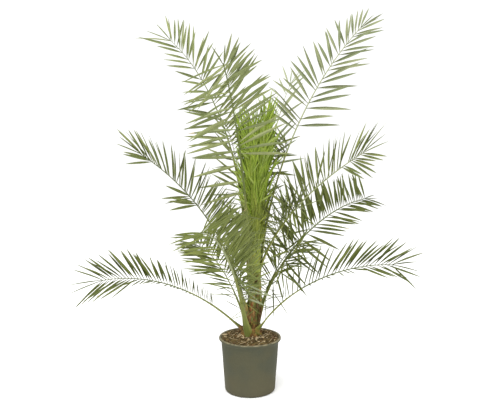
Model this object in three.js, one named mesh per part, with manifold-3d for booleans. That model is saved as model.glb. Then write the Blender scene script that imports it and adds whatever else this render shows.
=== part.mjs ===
// Young Canary Island date palm growing in a plastic nursery pot.
// Millimetres and degrees, +Z up. The origin is the centre of the pot's flat underside.
// A heading of 0 points along +X (right), 90 along +Y (back), 180 left and -90 to the front.

import * as THREE from 'three';
import { mergeVertices } from 'three/addons/utils/BufferGeometryUtils.js';
import Module from 'manifold-3d';

const wasm = await Module();
wasm.setup();

// Driving dimensions: clearances and seed
const GAP = 0.3;
const LEAF_CLEARANCE = 0.5;
const SEED = 28;

// Driving dimensions: pot
const POT_HEIGHT = 248;
const POT_RIM_RADIUS = 139.5;
const POT_WALL_TOP_RADIUS = 128.5;
const POT_BASE_RADIUS = 113.5;
const POT_WALL = 3;
const POT_FLOOR = 4;
const POT_CORNER_RADIUS = 11;
const POT_FLARE_HEIGHT = 26;
const POT_BEAD_RADIUS = 5;
const POT_BEAD_UNDERCUT = 40;
const POT_SIDES = 40;
const DRAIN_COUNT = 6;
const DRAIN_RADIUS = 7;
const DRAIN_CIRCLE_RADIUS = 82;
const DRAIN_SIDES = 8;

// Driving dimensions: soil
const SOIL_MIDDLE = POT_HEIGHT + 2;
const SOIL_EDGE = POT_HEIGHT - 10;
const SOIL_FLAT_RADIUS = 62;
const SOIL_SLOPE_STEPS = 4;

// Driving dimensions: trunk
const TRUNK_FOOT_X = 5;
const TRUNK_FOOT_Y = 12;
const TRUNK_FOOT_Z = SOIL_MIDDLE + GAP;
const TRUNK_HEIGHT = 300;
const TRUNK_LEAN = 4;
const TRUNK_FLARE_RADIUS = 46;
const TRUNK_LOW_RADIUS = 34;
const TRUNK_TOP_RADIUS = 19;
const TRUNK_FLARE_HEIGHT = 45;
const TRUNK_RINGS = 12;
const TRUNK_SIDES = 18;
const TRUNK_FLUTES = 6;
const TRUNK_FLUTE_DEPTH = 0.05;
const TRUNK_FLUTE_TWIST = 75;

// Driving dimensions: cut leaf bases round the trunk's foot
const STUB_HEADINGS = [-76, 6, 205, 92, 142];
const STUB_LENGTH = 46;
const STUB_RISE = 62;
const STUB_HALF_WIDTH = 14;
const STUB_TAPER = 0.75;
const STUB_HALF_THICKNESS = 5.5;
const STUB_SINK = 22;
const STUB_FOOT = 8;

// Driving dimensions: frond ribs
const CURVE_STEPS = 60;
const RIB_STATIONS = 14;
const RIB_TIP_HALF_WIDTH = 2;
const RIB_FOOT_RATIO = 1.15;
const RIB_THICKNESS_RATIO = 0.68;
const RIB_UNDERSIDE_SHARE = 0.7;
const SHEATH_SHARE = 0.16;
const TRUNK_BITE = 5;

// Driving dimensions: leaflets
const LEAF_WIDTH = 17;
const LEAF_WIDEST_AT = 0.3;
const LEAF_KEEL = 3.4;
const LEAF_ROOT_SINK = 0.75;
const LEAF_LIFT = 16;
const LEAF_LIFT_JITTER = 9;
const LEAF_SHORTER = [1, 0.8, 0.6, 0.45];
const LEAF_NECK_SHARE = 0.35;
const LEAF_NECK_WIDTH_SHARE = 0.55;
const LEAF_SPINY = 0.28;
const LEAF_SHORTENS_FROM = 0.5;
const LEAF_TIP_SHARE = 0.76;
const LEAF_TIP_WIDTH_SHARE = 0.6;
const LEAF_PAIR_OFFSET = { right: 0.35, left: 0.75 };
const TERMINAL_AT = 0.98;
const TERMINAL_LENGTH_SHARE = 0.7;
const TERMINAL_WIDTH_SHARE = 0.5;
const TERMINAL_SINK_SHARE = 0.1;
const OPEN_AT_NECK = 72;
const OPEN_AT_TIP = 28;

// Driving dimensions: one line for each grown frond.
// foot is the height above the soil, neck the rib's half width where the leaflets start, and bare
// the share of the length without leaflets. Leaflets are short spines at the neck and reach their full
// length at the share spiny of the blade. The rib leaves the trunk at the angle rise and bends
// down by droop over its length, sooner where bend is small. roll turns the blade about its rib.
const FRONDS = [
  { name: 'front_upper', heading: -106, sweep: 7.7, rise: 80, droop: 47.8, bend: 1.6, length: 1200, foot: 158,
    roll: -12, leaf: 215, pairs: 22, bare: 0.25, neck: 6.5, sheath: 11, openAtNeck: 90, openAtTip: 50 },
  { name: 'top_right', heading: 24, sweep: 18, rise: 87, droop: 51, bend: 1.1, length: 1400, foot: 188,
    roll: -34, leaf: 200, pairs: 23, bare: 0.27, neck: 6, sheath: 8, openAtNeck: 80, openAtTip: 30 },
  { name: 'top_left', heading: 141, sweep: -7, rise: 87, droop: 58, bend: 1.55, length: 1325, foot: 188,
    roll: 38, leaf: 205, pairs: 18, bare: 0.36, neck: 8, sheath: 10, openAtNeck: 76, openAtTip: 34 },
  { name: 'front_left', heading: -117, sweep: 16, rise: 73.5, droop: 67.5, bend: 1.3, length: 850, foot: 10,
    roll: -28, leaf: 205, pairs: 18, bare: 0.2, neck: 8.5, sheath: 20 },
  { name: 'left_middle', heading: 201, sweep: 8.5, rise: 78, droop: 45.4, bend: 1.08, length: 917, foot: 96,
    roll: 60, leaf: 170, pairs: 18, bare: 0.27, neck: 5.5, sheath: 11, openAtTip: 20, lift: 30 },
  { name: 'left_low', heading: 168, sweep: 4, rise: 43, droop: 56, bend: 1.1, length: 730, foot: 16,
    roll: 42, leaf: 190, pairs: 17, bare: 0.25, spiny: 0.6, neck: 5, sheath: 12, openAtTip: 44, lift: 30 },
  { name: 'right_upper', heading: -14, sweep: -20, rise: 89, droop: 57.5, bend: 0.48, length: 772, foot: 262,
    roll: -62, leaf: 175, pairs: 17, bare: 0.27, neck: 5.5, sheath: 9, openAtNeck: 60, lift: 30 },
  { name: 'right_middle', heading: 31, sweep: 16, rise: 86, droop: 86, bend: 0.71, length: 970, foot: 26,
    roll: -44, leaf: 175, pairs: 18, bare: 0.16, neck: 5.5, sheath: 9.5, openAtTip: 50 },
  { name: 'right_low', heading: -44, sweep: 55, rise: 52, droop: 58.5, bend: 1.43, length: 737, foot: 26,
    roll: -50, leaf: 168, pairs: 17, bare: 0.25, spiny: 0.42, neck: 5, sheath: 12, openAtNeck: 50,
    openAtTip: 34, lift: 30 },
  { name: 'back_upper', heading: 70, sweep: -5, rise: 83, droop: 42, bend: 1.15, length: 1020, foot: 238,
    roll: 0, leaf: 180, pairs: 16, bare: 0.28, neck: 5.5, sheath: 6 },
  { name: 'back_middle', heading: 104, sweep: 0, rise: 80, droop: 52, bend: 1.2, length: 980, foot: 126,
    roll: 0, leaf: 175, pairs: 16, bare: 0.27, neck: 5.5, sheath: 11 },
  { name: 'back_left_low', heading: 122, sweep: -6, rise: 58, droop: 66, bend: 1, length: 700, foot: 22,
    roll: 22, leaf: 165, pairs: 14, bare: 0.25, neck: 5, sheath: 12 },
  { name: 'back_right_low', heading: 62, sweep: 4, rise: 60, droop: 68, bend: 1, length: 700, foot: 22,
    roll: -22, leaf: 165, pairs: 14, bare: 0.25, neck: 5, sheath: 12 },
];

// Driving dimensions: young fronds of the middle, upright, with leaflets pressed forward
const YOUNG_COUNT = 5;
const YOUNG_FIRST_HEADING = -48;
const YOUNG_TURN = 72;
const YOUNG_RING_RADIUS = 13;
const YOUNG_LENGTH = 660;
const YOUNG_LENGTH_STEP = -22;
const YOUNG_RISE = 87.5;
const YOUNG_DROOP = 5;
const YOUNG_LEAF = 190;
const YOUNG_LEAF_WIDTH = 13.5;
const YOUNG_PAIRS = 10;
const YOUNG_BARE = 0.22;
const YOUNG_NECK = 4;
const YOUNG_OPEN_AT_NECK = 24;
const YOUNG_OPEN_AT_TIP = 9;
const SPEAR_LENGTH = 700;
const SPEAR_RADIUS = 6;
const SPEAR_SIDES = 8;
const SPEAR_PROFILE = [[0, 1], [0.6, 1.1], [0.85, 0.7]];

// Finishes
const FINISH = {
  pot: { color: 0x61614e, roughness: 0.6 },
  soil: { color: 0x655537, roughness: 0.95 },
  trunk: { color: 0x79613a, roughness: 0.9 },
  frond: { color: 0x6c7a48, roughness: 0.6 },
  young: { color: 0x879a51, roughness: 0.5 },
};

const DEG = Math.PI / 180;
const UP = new THREE.Vector3(0, 0, 1);

// Small helpers
function seededRandom(seed) {
  let state = seed;
  return () => {
    state = (state * 1664525 + 1013904223) % 4294967296;
    return state / 4294967296;
  };
}

function mix(a, b, share) {
  return a + (b - a) * share;
}

function smoothStep(x) {
  const s = THREE.MathUtils.clamp(x, 0, 1);
  return s * s * (3 - 2 * s);
}

function onCircle(heading, radius) {
  return new THREE.Vector3(Math.cos(heading * DEG) * radius, Math.sin(heading * DEG) * radius, 0);
}

// Closed solids
function solidFrom(points, triangles) {
  let sixVolumes = 0;
  for (const [a, b, c] of triangles) {
    sixVolumes += points[a].dot(new THREE.Vector3().crossVectors(points[b], points[c]));
  }
  const order = sixVolumes < 0 ? [0, 2, 1] : [0, 1, 2];
  return new wasm.Manifold(new wasm.Mesh({
    numProp: 3,
    vertProperties: new Float32Array(points.flatMap((p) => p.toArray())),
    triVerts: new Uint32Array(triangles.flatMap((t) => order.map((k) => t[k]))),
  }));
}

function solidFromGeometry(geometry) {
  const bare = geometry.clone();
  bare.deleteAttribute('normal');
  bare.deleteAttribute('uv');
  const merged = mergeVertices(bare, 1e-3);
  const position = merged.getAttribute('position');
  const index = merged.getIndex().array;
  const points = [];
  for (let i = 0; i < position.count; i += 1) {
    points.push(new THREE.Vector3().fromBufferAttribute(position, i));
  }
  const triangles = [];
  for (let i = 0; i < index.length; i += 3) {
    const [a, b, c] = [index[i], index[i + 1], index[i + 2]];
    if (a !== b && b !== c && c !== a) triangles.push([a, b, c]);
  }
  return solidFrom(points, triangles);
}

function geometryFromSolid(solid) {
  const { numProp, vertProperties, triVerts } = solid.getMesh();
  const position = [];
  for (let i = 0; i < vertProperties.length; i += numProp) {
    position.push(vertProperties[i], vertProperties[i + 1], vertProperties[i + 2]);
  }
  const geometry = new THREE.BufferGeometry();
  geometry.setAttribute('position', new THREE.Float32BufferAttribute(position, 3));
  geometry.setIndex(Array.from(triVerts));
  geometry.computeVertexNormals();
  return geometry;
}

// Joins rings of equal point counts into a closed skin. An end ring of one point is a sharp tip.
function loft(rings) {
  const points = rings.flat();
  const triangles = [];
  let start = 0;
  for (let r = 0; r + 1 < rings.length; r += 1) {
    const [lower, upper] = [rings[r].length, rings[r + 1].length];
    const sides = Math.max(lower, upper);
    for (let i = 0; i < sides; i += 1) {
      const next = (i + 1) % sides;
      if (upper > 1) triangles.push([start + (i % lower), start + lower + next, start + lower + i]);
      if (lower > 1) triangles.push([start + i, start + next, start + lower + (next % upper)]);
    }
    start += lower;
  }
  const first = rings[0].length;
  for (let i = 1; i + 1 < first; i += 1) triangles.push([0, i + 1, i]);
  const last = rings[rings.length - 1].length;
  for (let i = 1; i + 1 < last; i += 1) triangles.push([start, start + i, start + i + 1]);
  return solidFrom(points, triangles);
}

function largestPiece(solid) {
  const pieces = solid.decompose();
  return pieces.reduce((best, piece) => (piece.volume() > best.volume() ? piece : best));
}

function turned(profile, sides) {
  const lathe = new THREE.LatheGeometry(profile, sides);
  lathe.rotateX(Math.PI / 2);
  return solidFromGeometry(lathe);
}

function arcPoints(centreX, centreY, radius, from, to, count) {
  const points = [];
  for (let i = 0; i <= count; i += 1) {
    const angle = mix(from, to, i / count) * DEG;
    points.push(new THREE.Vector2(centreX + radius * Math.cos(angle), centreY + radius * Math.sin(angle)));
  }
  return points;
}

// Pot
function potInnerRadius(z) {
  const share = (z - POT_CORNER_RADIUS) / (POT_HEIGHT - POT_FLARE_HEIGHT - POT_CORNER_RADIUS);
  return mix(POT_BASE_RADIUS, POT_WALL_TOP_RADIUS, share) - POT_WALL;
}

function potSolid() {
  const beadX = POT_RIM_RADIUS - POT_BEAD_RADIUS;
  const beadZ = POT_HEIGHT - POT_BEAD_RADIUS;
  const shoulder = POT_HEIGHT - POT_FLARE_HEIGHT;
  const innerCorner = POT_CORNER_RADIUS - POT_WALL;
  const [underBead] = arcPoints(beadX, beadZ, POT_BEAD_RADIUS, -POT_BEAD_UNDERCUT, 0, 1);
  const flare = new THREE.QuadraticBezierCurve(
    new THREE.Vector2(POT_WALL_TOP_RADIUS, shoulder),
    new THREE.Vector2(POT_WALL_TOP_RADIUS + 1, beadZ - POT_BEAD_RADIUS * 2),
    underBead,
  ).getPoints(3);
  const cornerX = POT_BASE_RADIUS - POT_CORNER_RADIUS;
  const profile = [
    new THREE.Vector2(0, 0),
    ...arcPoints(cornerX, POT_CORNER_RADIUS, POT_CORNER_RADIUS, -90, 0, 3),
    ...flare,
    ...arcPoints(beadX, beadZ, POT_BEAD_RADIUS, 0, 180, 5),
    new THREE.Vector2(potInnerRadius(shoulder), shoulder),
    ...arcPoints(cornerX, POT_FLOOR + innerCorner, innerCorner, 0, -90, 2),
    new THREE.Vector2(0, POT_FLOOR),
  ];
  let pot = turned(profile, POT_SIDES);
  for (let i = 0; i < DRAIN_COUNT; i += 1) {
    const hole = new THREE.CylinderGeometry(DRAIN_RADIUS, DRAIN_RADIUS, POT_FLOOR * 3, DRAIN_SIDES);
    hole.rotateX(Math.PI / 2);
    const centre = onCircle((360 / DRAIN_COUNT) * i, DRAIN_CIRCLE_RADIUS);
    hole.translate(centre.x, centre.y, POT_FLOOR / 2);
    pot = pot.subtract(solidFromGeometry(hole));
  }
  return pot;
}

// Soil, level in the middle and falling to the wall. raise lifts its top for clearance cuts.
function soilSolid(raise) {
  const bottom = POT_FLOOR + POT_CORNER_RADIUS;
  const floorRadius = POT_BASE_RADIUS - POT_CORNER_RADIUS;
  const slope = [];
  for (let i = 0; i <= SOIL_SLOPE_STEPS; i += 1) {
    const share = i / SOIL_SLOPE_STEPS;
    const radius = mix(potInnerRadius(SOIL_EDGE) - GAP, SOIL_FLAT_RADIUS, share);
    slope.push(new THREE.Vector2(radius, mix(SOIL_EDGE, SOIL_MIDDLE, smoothStep(share)) + raise));
  }
  const profile = [
    new THREE.Vector2(0, POT_FLOOR + GAP),
    new THREE.Vector2(floorRadius - GAP, POT_FLOOR + GAP),
    new THREE.Vector2(potInnerRadius(bottom) - GAP, bottom),
    ...slope,
    new THREE.Vector2(0, SOIL_MIDDLE + raise),
  ];
  return turned(profile, POT_SIDES);
}

// Trunk
function trunkRadius(height) {
  const flare = (TRUNK_FLARE_RADIUS - TRUNK_LOW_RADIUS) * Math.exp(-height / TRUNK_FLARE_HEIGHT);
  return mix(TRUNK_LOW_RADIUS, TRUNK_TOP_RADIUS, height / TRUNK_HEIGHT) + flare;
}

function trunkCentre(height) {
  return new THREE.Vector3(
    TRUNK_FOOT_X + height * Math.tan(TRUNK_LEAN * DEG), TRUNK_FOOT_Y, TRUNK_FOOT_Z + height,
  );
}

function trunkSolid(grow) {
  const rings = [];
  for (let r = 0; r <= TRUNK_RINGS; r += 1) {
    const height = TRUNK_HEIGHT * (r / TRUNK_RINGS);
    const endDrop = r === 0 ? grow : 0;
    const endRise = r === TRUNK_RINGS ? grow : 0;
    const ring = [];
    for (let i = 0; i < TRUNK_SIDES; i += 1) {
      const heading = (360 * i) / TRUNK_SIDES;
      const flute = Math.cos((TRUNK_FLUTES * heading + (TRUNK_FLUTE_TWIST * height) / TRUNK_HEIGHT) * DEG);
      const radius = trunkRadius(height) * (1 + TRUNK_FLUTE_DEPTH * flute) + grow;
      const point = trunkCentre(height).add(onCircle(heading, radius));
      point.z += endRise - endDrop;
      ring.push(point);
    }
    rings.push(ring);
  }
  return loft(rings);
}

// A cut leaf base: a short flat wedge that leans out of the trunk and ends in a flat cut.
function stubSolid(heading, grow) {
  const outward = onCircle(heading, 1);
  const side = new THREE.Vector3().crossVectors(outward, UP);
  const along = outward.clone().multiplyScalar(Math.cos(STUB_RISE * DEG));
  along.addScaledVector(UP, Math.sin(STUB_RISE * DEG));
  const across = new THREE.Vector3().crossVectors(side, along);
  const root = trunkCentre(STUB_FOOT).addScaledVector(outward, trunkRadius(STUB_FOOT) - STUB_SINK);
  const thickness = STUB_HALF_THICKNESS + grow * 2;
  const rings = [0, 1].map((share) => {
    const centre = root.clone().addScaledVector(along, (STUB_LENGTH + grow) * share);
    const width = STUB_HALF_WIDTH * mix(1, STUB_TAPER, share) + grow * 2;
    return [[-width, 0], [0, -thickness], [width, 0], [0, thickness]].map(([s, n]) => (
      centre.clone().addScaledVector(side, s).addScaledVector(across, n)
    ));
  });
  return loft(rings);
}

function trunkWithStubs(grow) {
  return STUB_HEADINGS.reduce((solid, heading) => solid.add(stubSolid(heading, grow)), trunkSolid(grow));
}

// Frond ribs
function frondCurve(frond) {
  const outward = onCircle(frond.heading, 1);
  const centre = trunkCentre(frond.foot).addScaledVector(outward, frond.reach);
  const stations = [];
  for (let i = 0; i <= CURVE_STEPS; i += 1) {
    const t = i / CURVE_STEPS;
    const heading = (frond.heading + frond.sweep * t) * DEG;
    const elevation = (frond.rise - frond.droop * t ** frond.bend) * DEG;
    const along = new THREE.Vector3(
      Math.cos(elevation) * Math.cos(heading), Math.cos(elevation) * Math.sin(heading), Math.sin(elevation),
    );
    const level = new THREE.Vector3().crossVectors(along, UP).normalize();
    const above = new THREE.Vector3().crossVectors(level, along);
    const roll = frond.roll * smoothStep(t / frond.bare) * DEG;
    stations.push({
      centre: centre.clone(),
      along,
      side: level.clone().multiplyScalar(Math.cos(roll)).addScaledVector(above, Math.sin(roll)),
      above: above.clone().multiplyScalar(Math.cos(roll)).addScaledVector(level, -Math.sin(roll)),
    });
    centre.addScaledVector(along, frond.length / CURVE_STEPS);
  }
  return stations;
}

function stationAt(stations, t) {
  const place = THREE.MathUtils.clamp(t, 0, 1) * CURVE_STEPS;
  const k = Math.min(Math.floor(place), CURVE_STEPS - 1);
  const [a, b] = [stations[k], stations[k + 1]];
  const blend = (key) => a[key].clone().lerp(b[key], place - k);
  return {
    centre: blend('centre'),
    along: blend('along').normalize(),
    side: blend('side').normalize(),
    above: blend('above').normalize(),
  };
}

function ribHalfWidth(frond, t) {
  const taper = mix(frond.neck * RIB_FOOT_RATIO, RIB_TIP_HALF_WIDTH, t);
  const sheath = Math.max(0, 1 - t / SHEATH_SHARE) ** 2;
  return taper + (frond.sheath - frond.neck) * sheath;
}

function ribSolid(frond, stations, from, to) {
  const count = Math.max(3, Math.round(RIB_STATIONS * (to - from)));
  const rings = [];
  for (let i = 0; i <= count; i += 1) {
    const t = mix(from, to, i / count);
    const { centre, side, above } = stationAt(stations, t);
    const width = ribHalfWidth(frond, t);
    const high = Math.min(width, frond.neck * RIB_FOOT_RATIO) * RIB_THICKNESS_RATIO;
    const under = width * RIB_UNDERSIDE_SHARE;
    rings.push([[-width, high], [-under, -high], [under, -high], [width, high]].map(([s, n]) => (
      centre.clone().addScaledVector(side, s).addScaledVector(above, n)
    )));
  }
  return loft(rings);
}

// Leaflets: keeled blades of six faces, pointed at both ends, with the root sunk past the rib's middle
function leafletSolid(centre, along, across, above, sink, length, width) {
  const root = centre.clone().addScaledVector(along, -sink);
  const middle = centre.clone().addScaledVector(along, length * LEAF_WIDEST_AT);
  const tip = centre.clone().addScaledVector(along, length);
  const edge = (share) => middle.clone().addScaledVector(across, width * share);
  const keel = middle.clone().addScaledVector(above, -LEAF_KEEL);
  return loft([[root], [edge(-0.5), keel, edge(0.5)], [tip]]);
}

function leafShare(frond, u) {
  const low = mix(LEAF_NECK_SHARE, 1, smoothStep(u / frond.spiny));
  const toTip = smoothStep((u - LEAF_SHORTENS_FROM) / (1 - LEAF_SHORTENS_FROM));
  return low * mix(1, LEAF_TIP_SHARE, toTip);
}

function leafletAt(frond, stations, u, hand, jitter, shorter) {
  const t = mix(frond.bare, 1, u);
  const { centre, along, side, above } = stationAt(stations, t);
  const open = mix(frond.openAtNeck, frond.openAtTip, u) * DEG;
  const lift = (frond.lift + jitter * LEAF_LIFT_JITTER) * DEG;
  const direction = along.clone().multiplyScalar(Math.cos(open))
    .addScaledVector(side, hand * Math.sin(open) * Math.cos(lift))
    .addScaledVector(above, Math.sin(open) * Math.sin(lift)).normalize();
  const across = along.clone().addScaledVector(direction, -along.dot(direction)).normalize();
  const normal = new THREE.Vector3().crossVectors(across, direction).multiplyScalar(-hand);
  const sink = (LEAF_ROOT_SINK * ribHalfWidth(frond, t)) / Math.sin(open);
  const length = frond.leaf * leafShare(frond, u) * shorter;
  const neckWidth = mix(LEAF_NECK_WIDTH_SHARE, 1, smoothStep(u / frond.spiny));
  const width = frond.leafWidth * neckWidth * mix(1, LEAF_TIP_WIDTH_SHARE, u * u);
  return leafletSolid(centre, direction, across, normal, sink, length, width);
}

function terminalLeaflet(frond, stations) {
  const { centre, along, side, above } = stationAt(stations, TERMINAL_AT);
  const length = frond.leaf * TERMINAL_LENGTH_SHARE;
  const width = frond.leafWidth * TERMINAL_WIDTH_SHARE;
  return leafletSolid(centre, along, side, above, length * TERMINAL_SINK_SHARE, length, width);
}

// Keeps every piece clear of the ones that stand already
const standing = [];

function boxesMeet(a, b) {
  return [0, 1, 2].every((k) => (
    a.min[k] < b.max[k] + LEAF_CLEARANCE && b.min[k] < a.max[k] + LEAF_CLEARANCE
  ));
}

function isClear(solid, owner) {
  const box = solid.boundingBox();
  return standing.every((other) => (
    other.owner === owner || !boxesMeet(box, other.box)
    || solid.minGap(other.solid, LEAF_CLEARANCE * 2) > LEAF_CLEARANCE
  ));
}

function stand(solid, owner) {
  standing.push({ solid, owner, box: solid.boundingBox() });
}

function growLeaflets(frond, stations, random) {
  const leaflets = [];
  const keep = (make) => {
    for (const shorter of LEAF_SHORTER) {
      const leaflet = make(shorter);
      if (isClear(leaflet, frond.name)) {
        leaflets.push(leaflet);
        stand(leaflet, frond.name);
        return;
      }
    }
  };
  for (let i = 0; i < frond.pairs; i += 1) {
    for (const hand of [1, -1]) {
      const offset = hand > 0 ? LEAF_PAIR_OFFSET.right : LEAF_PAIR_OFFSET.left;
      const u = (i + offset) / frond.pairs;
      const jitter = random() * 2 - 1;
      keep((shorter) => leafletAt(frond, stations, u, hand, jitter, shorter));
    }
  }
  keep(() => terminalLeaflet(frond, stations));
  return leaflets;
}

// The young leaf in the middle that has not opened yet
function spearSolid() {
  const heightAt = (share) => TRUNK_HEIGHT + GAP + SPEAR_LENGTH * share;
  const ring = ([share, swell]) => {
    const points = [];
    for (let i = 0; i < SPEAR_SIDES; i += 1) {
      const spoke = onCircle((360 * i) / SPEAR_SIDES, SPEAR_RADIUS * swell);
      points.push(trunkCentre(heightAt(share)).add(spoke));
    }
    return points;
  };
  return loft([...SPEAR_PROFILE.map(ring), [trunkCentre(heightAt(1))]]);
}

// The list of everything that grows: the open fronds and then the young ones
function openFrond(frond) {
  return {
    openAtNeck: OPEN_AT_NECK,
    openAtTip: OPEN_AT_TIP,
    lift: LEAF_LIFT,
    leafWidth: LEAF_WIDTH,
    spiny: LEAF_SPINY,
    finish: FINISH.frond,
    stalked: true,
    reach: trunkRadius(frond.foot) - TRUNK_BITE,
    ...frond,
    name: `frond_${frond.name}`,
  };
}

function youngFrond(i) {
  return {
    name: `young_frond_${i + 1}`,
    heading: YOUNG_FIRST_HEADING + YOUNG_TURN * i,
    sweep: 0,
    rise: YOUNG_RISE,
    droop: YOUNG_DROOP,
    bend: 1,
    length: YOUNG_LENGTH + YOUNG_LENGTH_STEP * i,
    foot: TRUNK_HEIGHT + GAP,
    reach: YOUNG_RING_RADIUS,
    roll: 0,
    leaf: YOUNG_LEAF,
    pairs: YOUNG_PAIRS,
    bare: YOUNG_BARE,
    neck: YOUNG_NECK,
    sheath: YOUNG_NECK,
    openAtNeck: YOUNG_OPEN_AT_NECK,
    openAtTip: YOUNG_OPEN_AT_TIP,
    lift: -LEAF_LIFT,
    leafWidth: YOUNG_LEAF_WIDTH,
    spiny: LEAF_SPINY,
    finish: FINISH.young,
    stalked: false,
  };
}

// The plant
const plant = new THREE.Group();

function addPiece(name, solid, finish) {
  const material = new THREE.MeshStandardMaterial({ ...finish, metalness: 0, flatShading: true });
  const mesh = new THREE.Mesh(geometryFromSolid(solid), material);
  mesh.name = name;
  plant.add(mesh);
}

const firstPieces = [
  ['pot', potSolid(), FINISH.pot],
  ['soil', soilSolid(0), FINISH.soil],
  ['trunk', trunkWithStubs(0).subtract(soilSolid(GAP)), FINISH.trunk],
  ['spear_leaf', spearSolid(), FINISH.young],
];
for (const [name, solid, finish] of firstPieces) {
  addPiece(name, solid, finish);
  stand(solid, name);
}

// Ribs come before all leaflets, so that no leaflet takes a rib's place.
// A grown frond is split at its neck into a bare stalk and a blade.
const roomForTrunk = trunkWithStubs(GAP);
const roomForSoil = soilSolid(GAP * 2);
const fronds = [...FRONDS.map(openFrond), ...Array.from({ length: YOUNG_COUNT }, (_, i) => youngFrond(i))];
for (const frond of fronds) {
  frond.stations = frondCurve(frond);
  const ribFromFoot = (to) => largestPiece(
    ribSolid(frond, frond.stations, 0, to).subtract(roomForTrunk).subtract(roomForSoil),
  );
  if (frond.stalked) {
    frond.stalk = ribFromFoot(frond.bare - GAP / frond.length);
    frond.rib = ribSolid(frond, frond.stations, frond.bare, 1);
    stand(frond.stalk, frond.name);
  } else {
    frond.rib = ribFromFoot(1);
  }
  stand(frond.rib, frond.name);
}

const random = seededRandom(SEED);
for (const frond of fronds) {
  const leaflets = growLeaflets(frond, frond.stations, random);
  const blade = leaflets.reduce((solid, leaflet) => solid.add(leaflet), frond.rib);
  if (frond.stalked) addPiece(`${frond.name}_stalk`, frond.stalk, frond.finish);
  addPiece(frond.name, largestPiece(blade), frond.finish);
}

export default plant;
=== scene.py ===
"""Looks of a young date palm in a nursery pot: pot, soil, trunk, stalks, leaflets and studio."""

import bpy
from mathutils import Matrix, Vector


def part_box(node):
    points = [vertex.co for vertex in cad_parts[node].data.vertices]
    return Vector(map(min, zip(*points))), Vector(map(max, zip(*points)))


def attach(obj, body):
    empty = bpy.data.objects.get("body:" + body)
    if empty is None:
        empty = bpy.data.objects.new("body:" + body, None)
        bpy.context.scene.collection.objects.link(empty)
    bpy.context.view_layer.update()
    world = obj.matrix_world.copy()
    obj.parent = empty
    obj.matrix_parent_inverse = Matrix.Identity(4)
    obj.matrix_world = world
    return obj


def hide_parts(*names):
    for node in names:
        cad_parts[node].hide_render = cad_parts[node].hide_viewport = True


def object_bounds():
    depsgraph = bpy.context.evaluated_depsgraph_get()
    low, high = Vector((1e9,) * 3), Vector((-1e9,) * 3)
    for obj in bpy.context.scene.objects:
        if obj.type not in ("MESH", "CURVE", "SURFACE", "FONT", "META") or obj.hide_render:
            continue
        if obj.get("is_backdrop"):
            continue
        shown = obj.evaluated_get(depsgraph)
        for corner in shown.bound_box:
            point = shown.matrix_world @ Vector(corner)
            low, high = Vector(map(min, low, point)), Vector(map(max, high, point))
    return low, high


bl_info = {
    "name": "Potted Date Palm",
    "version": (1, 0, 0),
    "blender": (4, 5, 0),
    "location": "View3D > Sidebar > Palm",
    "description": "Dresses a potted date palm with pot, soil, trunk, stalks and leaflets",
    "category": "Object",
}

import math

import bmesh
import bpy
import numpy as np
from bpy.props import FloatProperty, FloatVectorProperty, IntProperty, PointerProperty

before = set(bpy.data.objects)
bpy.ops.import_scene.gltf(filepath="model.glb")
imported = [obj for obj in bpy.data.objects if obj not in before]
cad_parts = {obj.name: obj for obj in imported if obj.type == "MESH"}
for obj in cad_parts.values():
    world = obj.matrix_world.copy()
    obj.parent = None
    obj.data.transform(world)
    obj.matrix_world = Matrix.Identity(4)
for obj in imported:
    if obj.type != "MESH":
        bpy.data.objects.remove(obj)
CAD_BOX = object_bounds()
BODY = "root"
UP = np.array((0.0, 0.0, 1.0))
SEED = 28
LITTER_SEED = SEED + 10
BASE_ROW_SEED = SEED + 20
BASE_TURN_SEED = SEED + 21
TRUNK_SEED = SEED + 30
FROND_SEED = SEED + 40
YOUNG_SEED = SEED + 50

# Sizes that come from the solids, in metres
POT_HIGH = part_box("pot")[1]
SOIL_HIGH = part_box("soil")[1]
TRUNK_LOW, TRUNK_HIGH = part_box("trunk")
POT_HEIGHT = POT_HIGH.z
POT_RIM_RADIUS = POT_HIGH.x
SOIL_TOP = SOIL_HIGH.z
SOIL_RADIUS = SOIL_HIGH.x
TRUNK_HEIGHT = TRUNK_HIGH.z - TRUNK_LOW.z
FROND_NODES = [name for name in sorted(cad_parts) if name.startswith("frond_")]
STALK_NODES = [name for name in FROND_NODES if name.endswith("_stalk")]
BLADE_NODES = [name for name in FROND_NODES if not name.endswith("_stalk")]
YOUNG_NODES = [name for name in sorted(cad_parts) if name.startswith("young_frond_")]

# Growth rule of the solids, in metres and degrees
CURVE_STEPS = 60
TRUNK_FOOT = np.array((0.005, 0.012, TRUNK_LOW.z))
TRUNK_LEAN = 4
TRUNK_FLARE_RADIUS = 0.046
TRUNK_LOW_RADIUS = 0.034
TRUNK_TOP_RADIUS = 0.019
TRUNK_FLARE_HEIGHT = 0.045
TRUNK_FLUTES = 6
TRUNK_FLUTE_DEPTH = 0.05
TRUNK_FLUTE_TWIST = 75
TRUNK_BITE = 0.005
STUB_HEADINGS = (-76, 6, 205, 92, 142)
STUB_LENGTH = 0.034
STUB_RISE = 62
STUB_HALF_WIDTH = 0.014
STUB_TAPER = 0.75
STUB_HALF_THICKNESS = 0.0055
STUB_SINK = 0.022
STUB_FOOT = 0.008
RIB_TIP_HALF_WIDTH = 0.002
RIB_FOOT_RATIO = 1.15
RIB_THICKNESS_RATIO = 0.68
LEAF_SHORTENS_FROM = 0.5

# What every frond has, unless its own entry says otherwise
FROND_RULE = dict(sweep=0, bend=1, roll=0, clasp=0.24, proud=0.004, thick=1, dry_foot=-1, slim=1, first=0.35,
                  tip=0.76, wild=0, tangle=1, spiny=0.28, spines=0.55, olive_until=0, rib="olive")


def grow(**own):
    """One frond, from the rule for all of them and its own values."""
    return dict(FROND_RULE, **own)


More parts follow.
